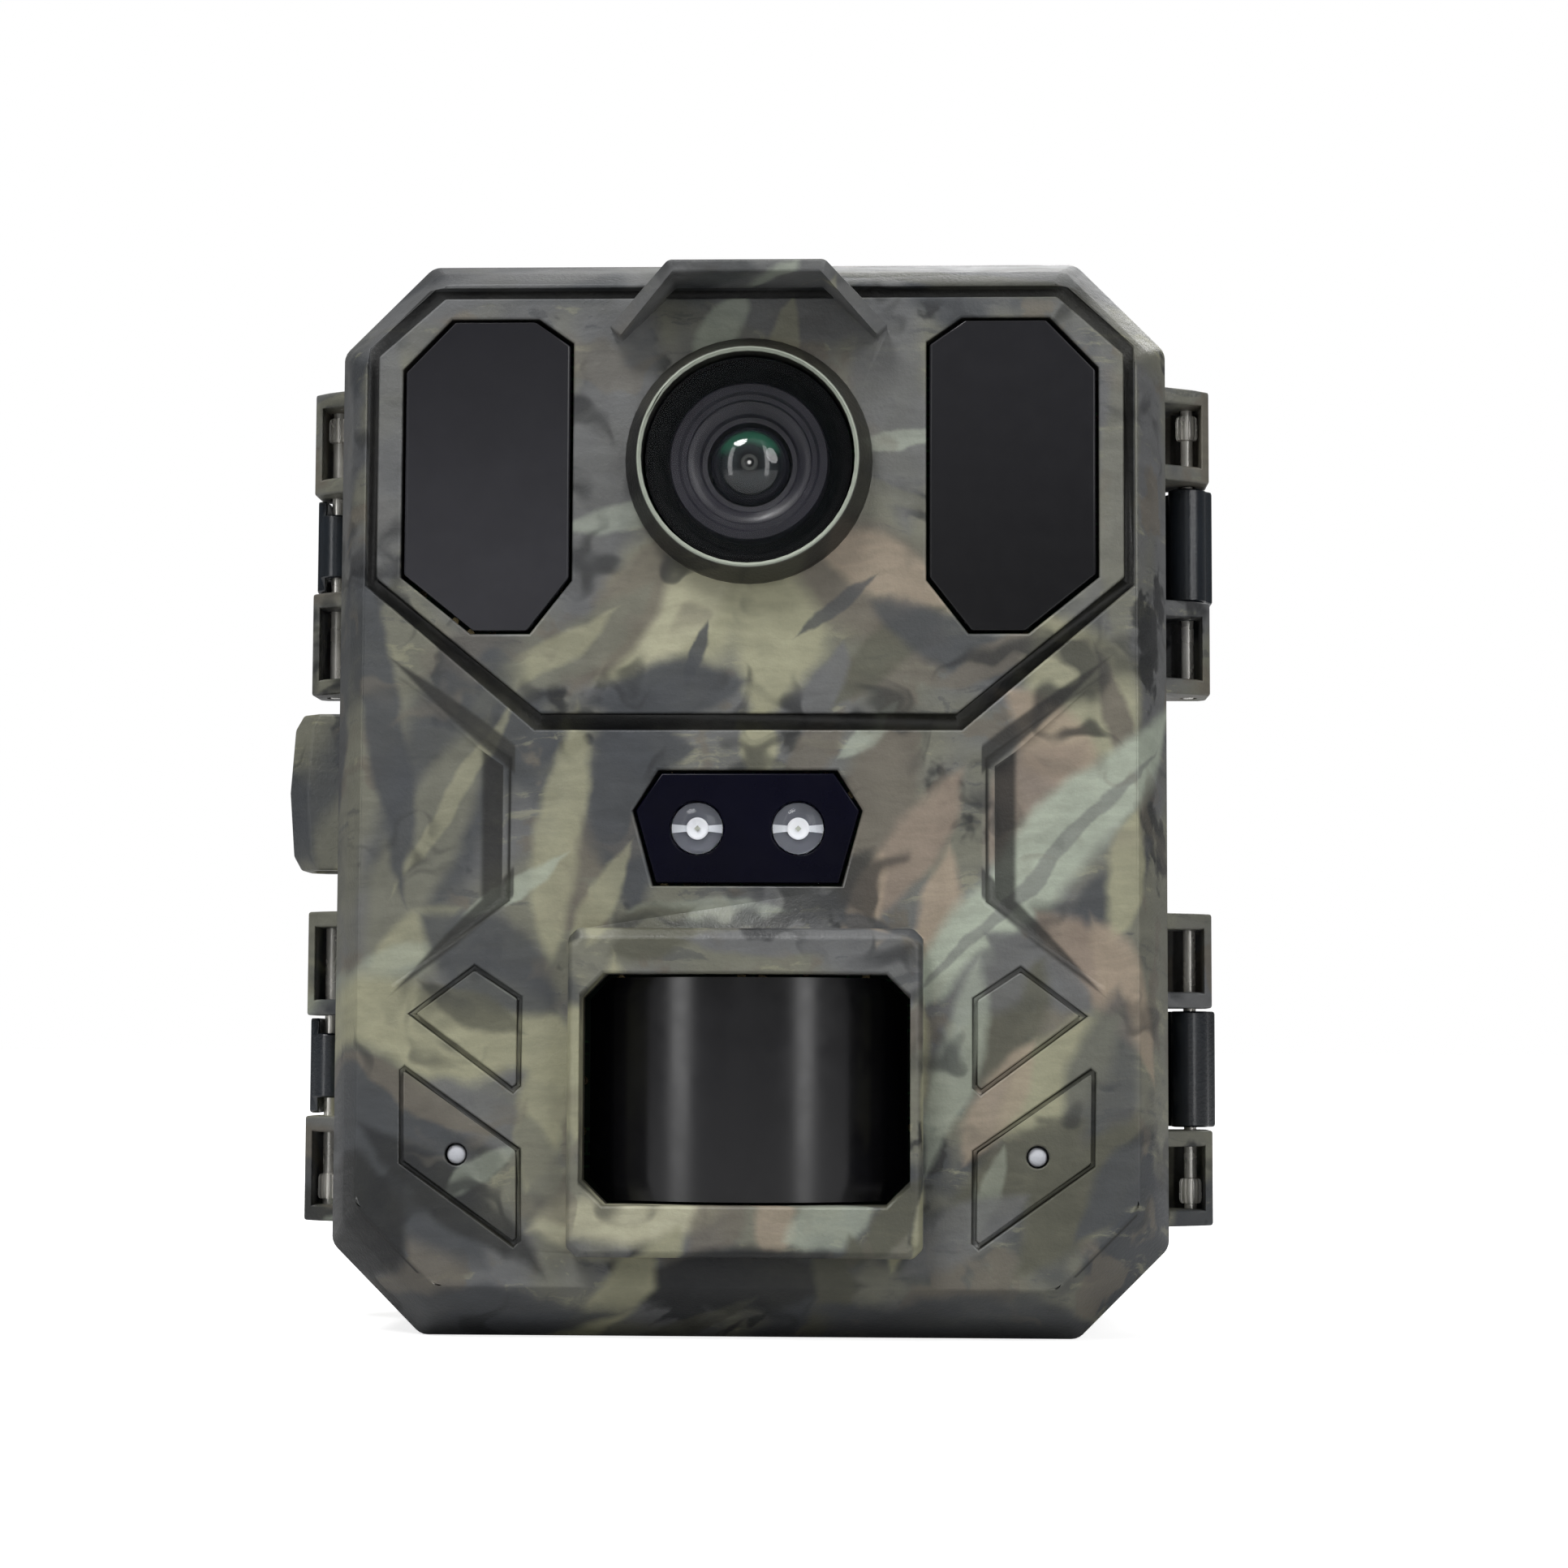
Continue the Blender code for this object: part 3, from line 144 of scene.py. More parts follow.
def setSky():  # white to the eye; as light, a soft room with two tall strips and a card above the front
    world = bpy.data.worlds.new("studioSky")
    world.use_nodes = True
    bpy.context.scene.world = world
    tree = world.node_tree
    tree.nodes.clear()
    way = wire(tree, "TexCoord").outputs["Generated"]
    side, depth, height = wire(tree, "SeparateXYZ", {0: way}).outputs
    degrees = 180 / math.pi
    turn = product(tree, calc(tree, "ARCTAN2", side, product(tree, depth, -1.0)), degrees)
    rise = product(tree, calc(tree, "ARCSINE", height), degrees)

    def band(low, full, top, fade):  # lit between two heights
        return product(tree, ramp(tree, rise, low, full), ramp(tree, rise, top, fade))

    low, high, strength = sky["above"]
    glow = calc(tree, "ADD", sky["fill"], ramp(tree, rise, low, high, 0.0, strength))
    level = band(*sky["stripRise"])
    for middle, width, strength in sky["strips"]:
        away = calc(tree, "ABSOLUTE", calc(tree, "SUBTRACT", turn, middle))
        strip = product(tree, ramp(tree, away, width, 0.0, 0.0, strength), level)
        glow = calc(tree, "ADD", glow, strip)
    middle, width, strength = sky["card"]
    away = calc(tree, "ABSOLUTE", calc(tree, "SUBTRACT", turn, middle))
    card = product(tree, ramp(tree, away, width, 1.0, 0.0, strength), band(*sky["cardRise"]))
    glow = calc(tree, "MAXIMUM", calc(tree, "ADD", glow, card), 0.0)
    light = wire(tree, "Background", {1: glow, 0: white}).outputs[0]
    plain = wire(tree, "Background", {0: white, 1: 1.0}).outputs[0]
    seen = wire(tree, "LightPath").outputs["Is Camera Ray"]
    both = wire(tree, "MixShader", {0: seen, 1: light, 2: plain}).outputs[0]
    out = tree.nodes.new("ShaderNodeOutputWorld")
    tree.links.new(both, out.inputs["Surface"])


lamps = {"keyLight": ((-0.4, -0.7, 1.1), 0.5, 14.0), "fillLight": ((0.75, -0.75, 0.55), 0.6, 4.6),
         "rearLight": ((0.25, 0.9, 0.8), 0.7, 6.0)}
lampAim = Vector((0, 0, 0.05))


def setLamps():
    for name, (place, size, power) in lamps.items():
        data = bpy.data.lights.new(name, "AREA")
        data.shape = "DISK"
        data.size = size
        data.energy = power
        lamp = bpy.data.objects.new(name, data)
        lamp.location = place
        lamp.rotation_euler = (lampAim - Vector(place)).to_track_quat("-Z", "Y").to_euler()
        bpy.context.scene.collection.objects.link(lamp)


glossStrips = {"leftStrip": (-0.263, -0.34, 0.075, 0.42), "rightStrip": (0.186, -0.34, 0.06, 0.34)}
stripStand = {"height": 0.12, "tall": 0.6}


def setStrips():  # two tall lit cards that only shiny surfaces see
    for name, (x, y, width, power) in glossStrips.items():
        data = bpy.data.lights.new(name, "AREA")
        data.shape = "RECTANGLE"
        data.size = width
        data.size_y = stripStand["tall"]
        data.energy = power
        lamp = bpy.data.objects.new(name, data)
        lamp.location = (x, y, stripStand["height"])
        lamp.rotation_euler = (math.pi / 2, 0.0, -math.atan2(-x, -y))
        lamp.visible_camera = False
        lamp.visible_diffuse = False
        bpy.context.scene.collection.objects.link(lamp)


ground = {"half": 40.0, "colour": (0.62, 0.62, 0.62, 1.0), "roughness": 0.9, "specular": 0.1, "glow": 0.8}


def setFloor():  # lit from itself for the eye only, so it reads as white paper
    half = ground["half"]
    mesh = bpy.data.meshes.new("studioFloor")
    corners = [(-half, -half, 0), (half, -half, 0), (half, half, 0), (-half, half, 0)]
    mesh.from_pydata(corners, [], [(0, 1, 2, 3)])
    floor = bpy.data.objects.new("studioFloor", mesh)
    bpy.context.scene.collection.objects.link(floor)
    paper = bpy.data.materials.new("studioPaper")
    paper.use_nodes = True
    tree = paper.node_tree
    seen = wire(tree, "LightPath").outputs["Is Camera Ray"]
    feed(tree, tree.nodes["Principled BSDF"].inputs, {
        "Base Color": ground["colour"], "Roughness": ground["roughness"],
        "Specular IOR Level": ground["specular"],
        "Emission Color": white, "Emission Strength": product(tree, seen, ground["glow"])})
    mesh.materials.append(paper)


setCamera()
setSky()
setStrips()
setLamps()
setFloor()
bpy.context.scene.view_settings.view_transform = "Standard"
print("camera, floor and light set")


# node groups shared by the materials


def newGroup(name, takes, gives):
    group = bpy.data.node_groups.new(name, "ShaderNodeTree")
    kinds = {float: "NodeSocketFloat", tuple: "NodeSocketVector", str: "NodeSocketColor"}
    for label, value in takes.items():
        kind = kinds[type(value)]
        socket = group.interface.new_socket(name=label, in_out="INPUT", socket_type=kind)
        if kind != "NodeSocketColor":
            socket.default_value = value
    for label, kind in gives.items():
        group.interface.new_socket(name=label, in_out="OUTPUT", socket_type=kinds[kind])
    return group, group.nodes.new("NodeGroupInput").outputs, group.nodes.new("NodeGroupOutput").inputs


def place(tree, group, inputs):
    node = tree.nodes.new("ShaderNodeGroup")
    node.node_tree = bpy.data.node_groups[group]
    feed(tree, node.inputs, inputs)
    return node.outputs


def makeLeafGroup():  # a pointed leaf: its middle, and each axis as a vector over its half length
    takes = {"Place": (0.0, 0.0, 0.0), "Middle": (0.0, 0.0, 0.0), "Along": (1.0, 0.0, 0.0),
             "Across": (0.0, 0.0, 1.0), "Softness": 0.1}
    group, given, out = newGroup("leafShape", takes, {"Mask": float})
    local = wire(group, "VectorMath", {0: given["Place"], 1: given["Middle"]}, operation="SUBTRACT").outputs[0]
    dots = [wire(group, "VectorMath", {0: local, 1: given[axis]}, operation="DOT_PRODUCT")
            for axis in ("Along", "Across")]
    along, across = (dot.outputs["Value"] for dot in dots)
    room = calc(group, "MULTIPLY_ADD", product(group, along, -1.0), along, 1.0)
    room = calc(group, "SUBTRACT", room, calc(group, "ABSOLUTE", across))
    edge = {0: room, 1: product(group, given["Softness"], -1.0), 2: given["Softness"]}
    mask = wire(group, "MapRange", edge, interpolation_type="SMOOTHSTEP").outputs[0]
    group.links.new(mask, out["Mask"])


def makeGrainGroup():  # fine moulded texture as a normal, with a slow ripple under it
    takes = {"Scale": 1.0, "Depth": 0.1, "Ripple": 0.05}
    group, given, out = newGroup("mouldedGrain", takes, {"Normal": tuple})
    spot = here(group)
    fine = noise(group, spot, product(group, given["Scale"], 2600.0), 3.0, 0.6)
    slow = noise(group, spot, product(group, given["Scale"], 160.0), 1.0)
    high = calc(group, "ADD", product(group, fine, given["Depth"]), product(group, slow, given["Ripple"]))
    bump = wire(group, "Bump", {"Strength": 1.0, "Distance": 0.0006, "Height": high})
    group.links.new(bump.outputs[0], out["Normal"])


def makeWearGroup():  # where edges are rubbed, broken up by noise
    group, given, out = newGroup("edgeWear", {"Start": 0.56, "Spread": 0.12, "Patch": 220.0}, {"Mask": float})
    point = wire(group, "NewGeometry").outputs["Pointiness"]
    edge = ramp(group, point, given["Start"], calc(group, "ADD", given["Start"], given["Spread"]))
    patch = ramp(group, noise(group, here(group), given["Patch"], 3.0, 0.6), 0.38, 0.62)
    group.links.new(product(group, edge, patch), out["Mask"])


def makeDustGroup():  # a thin uneven film, thicker on faces that look up
    group, given, out = newGroup("dustFilm", {"Amount": 0.2, "Scale": 60.0}, {"Mask": float})
    drift = ramp(group, noise(group, here(group), given["Scale"], 5.0, 0.65), 0.4, 0.75)
    up = wire(group, "SeparateXYZ", {0: wire(group, "NewGeometry").outputs["Normal"]}).outputs[2]
    facing = ramp(group, up, -0.3, 1.0, 0.35, 1.0)
    group.links.new(product(group, drift, facing, given["Amount"]), out["Mask"])


# each leaf of the print: centre x, z, lean in degrees, half length, half width in mm, colour name, strength
inks = {
    "slate": tint(100, 101, 102), "deep": tint(66, 69, 73), "night": tint(22, 25, 29),
    "olive": tint(112, 112, 101), "khaki": tint(150, 149, 126), "bark": tint(104, 99, 90),
    "tan": tint(152, 140, 124), "rose": tint(136, 124, 112), "sage": tint(158, 165, 152),
    "moss": tint(84, 84, 72), "pale": tint(172, 170, 148),
}
leaves = [
    # upper panel and the strip over it
    (0.0, 110.5, 0, 62, 5.0, "deep", 0.85), (-28, 108.0, 10, 16, 2.2, "slate", 0.8),
    (22, 108.6, -6, 14, 1.6, "moss", 0.6), (4.0, 104.8, -15, 9, 3.0, "slate", 0.9),
    (-3.2, 102.6, 60, 5.5, 1.8, "sage", 0.6), (3.4, 102.0, 80, 4.5, 1.4, "khaki", 0.5),
    (-14.5, 92, 78, 20, 4.6, "slate", 0.9), (15.0, 96, 95, 14, 4.0, "slate", 0.8),
    (-12.6, 84.4, 18, 7.5, 1.5, "sage", 0.5), (15.2, 92.0, 14, 6.0, 0.9, "sage", 0.55),
    (14.0, 86.0, -12, 7.0, 1.2, "olive", 0.6), (-37.8, 90, 88, 16, 2.4, "slate", 0.8),
    (38.0, 86, 88, 18, 2.2, "olive", 0.7),
    # under the lens
    (-7.0, 75.6, 42, 12.5, 7.0, "khaki", 0.95), (-6.6, 75.0, 52, 9.0, 3.6, "pale", 0.6),
    (3.6, 73.0, 78, 10.5, 4.4, "khaki", 0.95), (12.0, 77.2, -34, 10.5, 5.4, "bark", 0.95),
    (13.5, 78.4, -28, 8.5, 2.8, "tan", 0.75), (9.0, 74.6, 32, 5.0, 0.7, "deep", 0.8),
    (-13.2, 74.5, 58, 10.5, 3.0, "bark", 0.85), (-17.6, 71.0, 40, 9.5, 2.6, "olive", 0.8),
    (-21.5, 69.4, 36, 9.0, 1.5, "khaki", 0.7), (-8.2, 66.0, 8, 8.5, 3.6, "deep", 0.95),
    (-5.2, 69.6, 72, 3.6, 0.8, "deep", 0.9), (13.5, 69.5, 38, 9.0, 2.4, "moss", 0.8),
    (21.5, 71.0, -24, 9.5, 2.8, "deep", 0.85), (25.5, 69.8, 30, 7.5, 1.6, "bark", 0.8),
    (8.0, 66.5, 70, 5.2, 1.6, "slate", 0.9),
    # around the plate
    (-12.8, 54.6, 96, 11.5, 4.4, "deep", 0.95), (-11.0, 60.2, 0, 6.0, 3.0, "deep", 0.9),
    (-19.4, 50.4, 84, 14, 2.2, "khaki", 0.75), (-15.4, 44.6, 62, 6.5, 1.5, "khaki", 0.7),
    (1.5, 60.4, 86, 4.6, 2.0, "khaki", 0.95), (7.4, 59.4, 60, 5.6, 2.2, "bark", 0.8),
    (13.0, 61.2, 44, 4.2, 1.3, "sage", 0.6), (13.4, 54.0, 66, 10, 3.6, "bark", 0.9),
    (16.6, 50.0, 56, 9.5, 2.6, "rose", 0.9), (12.0, 44.6, 70, 6.0, 1.9, "tan", 0.8),
    (-4.0, 44.0, 2, 8.4, 1.7, "sage", 0.5), (19.8, 42.0, 86, 8.5, 2.1, "tan", 0.9),
    # left wing
    (-30.6, 56.0, 74, 20, 6.6, "deep", 0.85), (-32.6, 50.6, 66, 15, 4.2, "olive", 0.9),
    (-29.6, 55.4, 60, 12, 1.2, "khaki", 0.55), (-37.4, 62.0, 100, 18, 2.2, "deep", 0.9),
    (-23.8, 45.0, 36, 6.8, 1.0, "sage", 0.7), (-33.6, 40.4, 30, 6.0, 2.4, "khaki", 0.7),
    (-36.5, 37.5, 18, 6.5, 2.0, "sage", 0.45),
    # right wing and the pale stalk that crosses it
    (34.0, 65.6, -62, 10.5, 5.4, "khaki", 0.85), (31.4, 60.6, -50, 8.0, 3.4, "tan", 0.9),
    (38.0, 61.6, -70, 9.5, 1.3, "bark", 0.9), (29.2, 54.6, 50, 8.0, 4.2, "rose", 0.75),
    (32.0, 50.0, 44, 24, 3.8, "sage", 0.95), (22.4, 38.6, 44, 9.0, 2.5, "sage", 0.85),
    (30.0, 47.0, 44, 20, 0.8, "slate", 0.55), (36.4, 44.0, 50, 9.5, 2.2, "deep", 0.9),
    (38.4, 46.6, 74, 7.0, 2.0, "khaki", 0.9), (34.8, 38.2, -46, 7.5, 3.0, "rose", 0.95),
    (38.8, 34.6, -64, 9.0, 2.4, "tan", 0.8), (30.0, 37.0, -34, 7.0, 2.4, "slate", 0.9),
    # lower left
    (-36.0, 31.0, -14, 14, 5.4, "khaki", 0.95), (-22.0, 30.6, -42, 10, 3.2, "khaki", 0.9),
    (-26.0, 37.6, -38, 8.5, 4.4, "deep", 0.9), (-28.0, 33.4, -28, 6.0, 1.6, "moss", 0.8),
    (-34.0, 18.6, -58, 14, 6.4, "deep", 0.95), (-38.0, 12.6, -70, 8.5, 3.0, "night", 0.95),
    (-30.0, 14.5, -40, 12, 2.8, "night", 0.85), (-25.6, 22.0, -36, 9.0, 2.6, "slate", 0.9),
    (-20.6, 22.0, 84, 8.0, 2.4, "khaki", 0.85), (-33.0, 25.0, -30, 9.0, 1.6, "bark", 0.85),
    (-20.8, 17.4, -70, 5.0, 2.0, "olive", 0.8), (-26.6, 16.6, 30, 4.4, 1.4, "sage", 0.45),
    # detector surround and under it
    (-11.0, 41.4, 30, 6.5, 2.6, "moss", 0.9), (2.0, 40.2, 0, 11, 1.9, "slate", 0.95),
    (13.0, 41.6, -24, 4.6, 1.4, "deep", 0.85), (-15.8, 26.0, 92, 12, 2.6, "khaki", 0.9),
    (16.6, 28.0, 88, 10, 1.6, "khaki", 0.8), (-13.0, 12.0, 12, 9.0, 3.4, "pale", 0.85),
    (-5.6, 11.6, 60, 5.4, 2.6, "bark", 0.75), (0.4, 11.6, 84, 4.2, 2.2, "tan", 0.7),
    (6.0, 11.4, 20, 5.0, 2.8, "sage", 0.6), (12.4, 11.2, 52, 5.0, 1.9, "moss", 0.9),
    (16.4, 11.6, 70, 4.6, 1.6, "khaki", 0.8), (-1.0, 6.0, 0, 13.0, 2.9, "night", 0.95),
    (-12.6, 4.4, 64, 7.0, 2.6, "khaki", 0.9), (9.8, 5.0, 110, 5.4, 2.0, "moss", 0.9),
    (-28.0, 2.4, 4, 17, 2.6, "deep", 0.9), (26.0, 2.6, -3, 18, 2.4, "deep", 0.9),
    (-3.6, 1.2, 30, 6.0, 1.3, "moss", 0.7),
    # lower right
    (26.0, 31.2, 58, 8.5, 3.6, "moss", 0.85), (25.0, 36.2, 40, 6.5, 2.6, "slate", 0.8),
    (31.8, 26.8, 48, 9.0, 4.2, "khaki", 0.9), (25.8, 24.0, 62, 7.5, 2.6, "tan", 0.75),
    (36.4, 26.0, 82, 10, 3.2, "deep", 0.7), (27.6, 16.8, 40, 9.5, 3.2, "moss", 0.9),
    (25.0, 14.6, 70, 5.0, 1.3, "sage", 0.4), (33.6, 14.8, 54, 10, 3.6, "moss", 0.95),
    (36.8, 16.0, 60, 6.5, 2.0, "deep", 0.85), (22.4, 10.6, 30, 7.5, 2.6, "slate", 0.8),
    (21.0, 27.0, 76, 11, 2.2, "sage", 0.6),
]
printLook = {"skew": (0.7, 0.2), "warp": 5.0, "broadWarp": 7.0, "warpScale": 55.0, "fineWarp": 1.1,
             "fineScale": 330.0,
             "leafEdge": 0.26, "batch": 16, "hair": 1e-6, "gamma": 1.17, "lensAxis": 89.6, "frontFace": -24.0,
             "recessSide": 39.45, "recessLow": 6.7, "recessHigh": 107.8, "recessCut": 6.0, "shadeLeft": 0.13,
             "lensWallShade": (13.2, 12.85), "lensWallShadeLeft": 0.1, "lensRim": (11.4, 11.25), "creaseEdge": 0.3,
             "creases": ((23.95, 59.0, 38.9, 16.3, 1.15), (23.95, 46.3, -42.9, 16.2, 1.15))}


def warped(group, spot, start, scale, amount):  # a place pushed about by noise
    drift = noise(group, spot, scale, 3.0, 0.55, "Color")
    drift = wire(group, "VectorMath", {0: drift, 1: (0.5, 0.5, 0.5)}, operation="SUBTRACT").outputs[0]
    return wire(group, "VectorMath", {0: drift, 1: (amount, amount, amount), 2: start},
                operation="MULTIPLY_ADD").outputs[0]


def leafMask(group, spot, x, z, lean, half, wide, softness):
    turn = math.radians(lean)
    return place(group, "leafShape", {"Place": spot, "Middle": (x, 0.0, z), "Softness": softness,
                                      "Along": (math.cos(turn) / half, 0.0, math.sin(turn) / half),
                                      "Across": (-math.sin(turn) / wide, 0.0, math.cos(turn) / wide)})["Mask"]


def printOver(group, colour, rows):  # each row: a noise field, its start and full level, strength, ink
    for field, low, high, strength, ink in rows:
        colour = blend(group, product(group, ramp(group, field, low, high), strength), colour, inks[ink])
    return colour


def printGround(group, spot, flat):  # soft areas, streaks of bark and blots, under the leaves
    bark = wire(group, "Mapping", {"Vector": flat, "Rotation": (0.0, 0.6, 0.0), "Scale": (0.05, 1.0, 0.5)})
    streak = noise(group, bark.outputs[0], 1.0, 5.0, 0.65)
    blot = noise(group, flat, 0.085, 4.0, 0.6)
    return printOver(group, inks["slate"], (
        (noise(group, spot, 42.0, 3.0, 0.55), 0.42, 0.56, 1.0, "olive"),
        (noise(group, spot, 31.0, 4.0, 0.6), 0.55, 0.62, 1.0, "deep"),
        (streak, 0.56, 0.66, 0.45, "khaki"), (streak, 0.42, 0.34, 0.5, "deep"),
        (blot, 0.55, 0.6, 0.8, "bark"), (blot, 0.43, 0.38, 0.85, "night")))


def recessShade(group, wide, depth, height, facing):  # painted shade: darker in the front's recesses, along the creases of the side recesses and inside the knuckle windows
    side, low, high = printLook["recessSide"], printLook["recessLow"], printLook["recessHigh"]
    nearest = calc(group, "MINIMUM", calc(group, "SUBTRACT", high, height),
                   calc(group, "SUBTRACT", height, low))
    corner = calc(group, "ADD", calc(group, "SUBTRACT", side, wide), nearest)
    inside = product(group, ramp(group, wide, side + 0.1, side - 0.1),
                     ramp(group, height, low - 0.1, low + 0.1),
                     ramp(group, height, high + 0.1, high - 0.1),
                     ramp(group, corner, printLook["recessCut"], printLook["recessCut"] + 0.3))
    steep = ramp(group, facing, -0.93, -0.72)
    floor = ramp(group, depth, -22.75, -22.6)
    shade = product(group, calc(group, "MAXIMUM", steep, floor), ramp(group, depth, -23.97, -23.7), inside)
    mirrored = wire(group, "CombineXYZ", {0: wide, 1: 0.0, 2: height}).outputs[0]
    for x, z, lean, half, width in printLook["creases"]:  # painted shade lines along the tapering ends of the side recesses
        crease = leafMask(group, mirrored, x, z, lean, half, width, printLook["creaseEdge"])
        crease = product(group, crease, ramp(group, wide, x - 0.3, x), ramp(group, depth, -21.0, -22.0), 0.9)
        shade = calc(group, "MAXIMUM", shade, crease)
    # painted shade inside the knuckle windows, on the faces behind the pins
    hollow = product(group, ramp(group, wide, 43.3, 43.5), ramp(group, depth, 2.7, 3.3),
                     ramp(group, facing, -0.8, -0.9))
    return calc(group, "MAXIMUM", shade, hollow)


def makePrintGroup():  # woodland print over the whole case: noise ground, streaks of bark, then the leaves; over it, painted shade in the recesses and on the lens ring's wall, and a painted highlight on the ring's rim
    group, _, out = newGroup("woodlandPrint", {}, {"Colour": str, "Height": float})
    spot = here(group)
    side, depth, height = inMillimetres(group, spot)
    back = calc(group, "SUBTRACT", depth, printLook["frontFace"])
    flatX = calc(group, "ADD", side, product(group, back, printLook["skew"][0]))
    flatZ = calc(group, "ADD", height, product(group, back, printLook["skew"][1]))
    flat = wire(group, "CombineXYZ", {0: flatX, 1: 0.0, 2: flatZ}).outputs[0]
    broad = warped(group, spot, flat, printLook["warpScale"], printLook["broadWarp"])
    flat = warped(group, spot, flat, printLook["warpScale"], printLook["warp"])
    flat = warped(group, spot, flat, printLook["fineScale"], printLook["fineWarp"])
    colour = printGround(group, spot, flat)
    hair = (printLook["hair"],) * 3
    for number, (x, z, lean, half, wide, ink, strength) in enumerate(leaves, 1):
        if number % printLook["batch"] == 0:  # a hair of the colour joins the place, to keep the order
            flat = wire(group, "VectorMath", {0: colour, 1: hair, 2: flat},
                        operation="MULTIPLY_ADD").outputs[0]
        mask = leafMask(group, flat, x, z, lean, half, wide, printLook["leafEdge"])
        colour = blend(group, product(group, mask, strength), colour, inks[ink])
    across = wire(group, "Mapping", {"Vector": broad, "Location": (40.0, 0.0, 11.0),
                                     "Rotation": (0.0, 0.95, 0.0), "Scale": (0.03, 1.0, 0.085)}).outputs[0]
    over = noise(group, across, 1.0, 2.0, 0.5)
    colour = printOver(group, colour, ((over, 0.43, 0.3, 0.75, "night"), (over, 0.6, 0.7, 0.5, "bark")))
    colour = wire(group, "Gamma", {0: colour, 1: printLook["gamma"]}).outputs[0]
    fibre = wire(group, "Mapping", {"Vector": flat, "Rotation": (0.0, -0.75, 0.0), "Scale": (0.12, 1.0, 0.9)})
    grain = noise(group, fibre.outputs[0], 1.0, 5.0, 0.65)
    mottle = ramp(group, noise(group, spot, 260.0, 4.0, 0.6), 0.3, 0.7, 0.92, 1.08)
    away = radial(group, side, calc(group, "SUBTRACT", height, printLook["lensAxis"]))
    # painted shade on the outer wall of the lens ring
    wall = product(group, ramp(group, away, *printLook["lensWallShade"]), ramp(group, depth, -24.05, -24.25))
    facing = wire(group, "SeparateXYZ", {0: wire(group, "NewGeometry").outputs["Normal"]}).outputs[1]
    shade = recessShade(group, calc(group, "ABSOLUTE", side), depth, height, facing)
    tone = product(group, ramp(group, grain, 0.3, 0.7, 0.9, 1.09), mottle,
                   ramp(group, wall, 0.0, 1.0, 1.0, printLook["lensWallShadeLeft"]),
                   ramp(group, shade, 0.0, 1.0, 1.0, printLook["shadeLeft"]))
    tone = wire(group, "CombineColor", {0: tone, 1: tone, 2: tone}).outputs[0]
    colour = blend(group, 1.0, colour, tone, "MULTIPLY")
    # painted highlight along the front rim of the lens ring
    rim = product(group, ramp(group, away, *printLook["lensRim"]), ramp(group, depth, -27.0, -27.2))
    colour = blend(group, product(group, rim, 0.85), colour, inks["sage"])
    group.links.new(colour, out["Colour"])
    group.links.new(grain, out["Height"])


makeLeafGroup()
makeGrainGroup()
makeWearGroup()
makeDustGroup()
makePrintGroup()
print("node groups made")


# materials


def newMaterial(name):
    made = bpy.data.materials.new(name)
    made.use_nodes = True
    return made, made.node_tree, made.node_tree.nodes["Principled BSDF"].inputs


def grained(tree, scale, depth, ripple):
    return place(tree, "mouldedGrain", {"Scale": scale, "Depth": depth, "Ripple": ripple})["Normal"]


def raised(tree, height, strength, distance):
    return wire(tree, "Bump", {"Strength": strength, "Distance": distance, "Height": height}).outputs[0]


def uneven(tree, spot, scale, detail, roughness, low, high, start=0.0, end=1.0):  # noise, eased
    return ramp(tree, noise(tree, spot, scale, detail, roughness), low, high, start, end)


def camoCase():
    made, tree, face = newMaterial("camoCase")
    printed = place(tree, "woodlandPrint", {})
    wear = place(tree, "edgeWear", {"Start": 0.57, "Spread": 0.14})["Mask"]
    dust = place(tree, "dustFilm", {"Amount": 0.12})["Mask"]
    colour = blend(tree, product(tree, wear, 0.25), printed["Colour"], inks["sage"])
    rough = ramp(tree, printed["Height"], 0.3, 0.7, 0.42, 0.52)
    feed(tree, face, {"Base Color": blend(tree, dust, colour, inks["khaki"]), "Specular IOR Level": 0.45,
                      "Roughness": calc(tree, "ADD", rough, product(tree, dust, 0.6)),
                      "Normal": grained(tree, 1.0, 0.10, 0.05)})
    return made


def plastic(name, colour, second, roughness, grain, specular=0.5, wearColour=None, dusty=0.0, metallic=0.0):
    made, tree, face = newMaterial(name)
    spot = here(tree)
    shade = blend(tree, uneven(tree, spot, 90.0, 4.0, 0.6, 0.35, 0.65), tint(*colour), tint(*second))
    if wearColour:
        wear = place(tree, "edgeWear", {"Start": 0.58, "Spread": 0.12})["Mask"]
        shade = blend(tree, product(tree, wear, 0.35), shade, tint(*wearColour))
    rough = uneven(tree, spot, 320.0, 3.0, 0.6, 0.3, 0.7, roughness * 0.88, roughness * 1.12)
    if dusty:
        dust = place(tree, "dustFilm", {"Amount": dusty})["Mask"]
        shade = blend(tree, dust, shade, tint(150, 148, 138))
        rough = calc(tree, "ADD", rough, product(tree, dust, 0.5))
    feed(tree, face, {"Base Color": shade, "Roughness": rough, "Specular IOR Level": specular,
                      "Metallic": metallic, "Normal": grained(tree, 1.0, grain, grain * 0.5)})
    return made


def metal(name, colour, second, roughness, stretch=(1.0, 1.0, 12.0), brushed=0.5):
    made, tree, face = newMaterial(name)
    spot = here(tree)
    lines = wire(tree, "Mapping", {"Vector": spot, "Scale": tuple(1.0 / s for s in stretch)}).outputs[0]
    brush = noise(tree, lines, 2400.0, 4.0, 0.6)
    tarnish = uneven(tree, spot, 260.0, 4.0, 0.6, 0.45, 0.7)
    feed(tree, face, {"Base Color": blend(tree, tarnish, tint(*colour), tint(*second)), "Metallic": 1.0,
                      "Roughness": ramp(tree, brush, 0.3, 0.7, roughness * 0.75, roughness * 1.35),
                      "Normal": raised(tree, brush, brushed, 0.00002)})
    return made


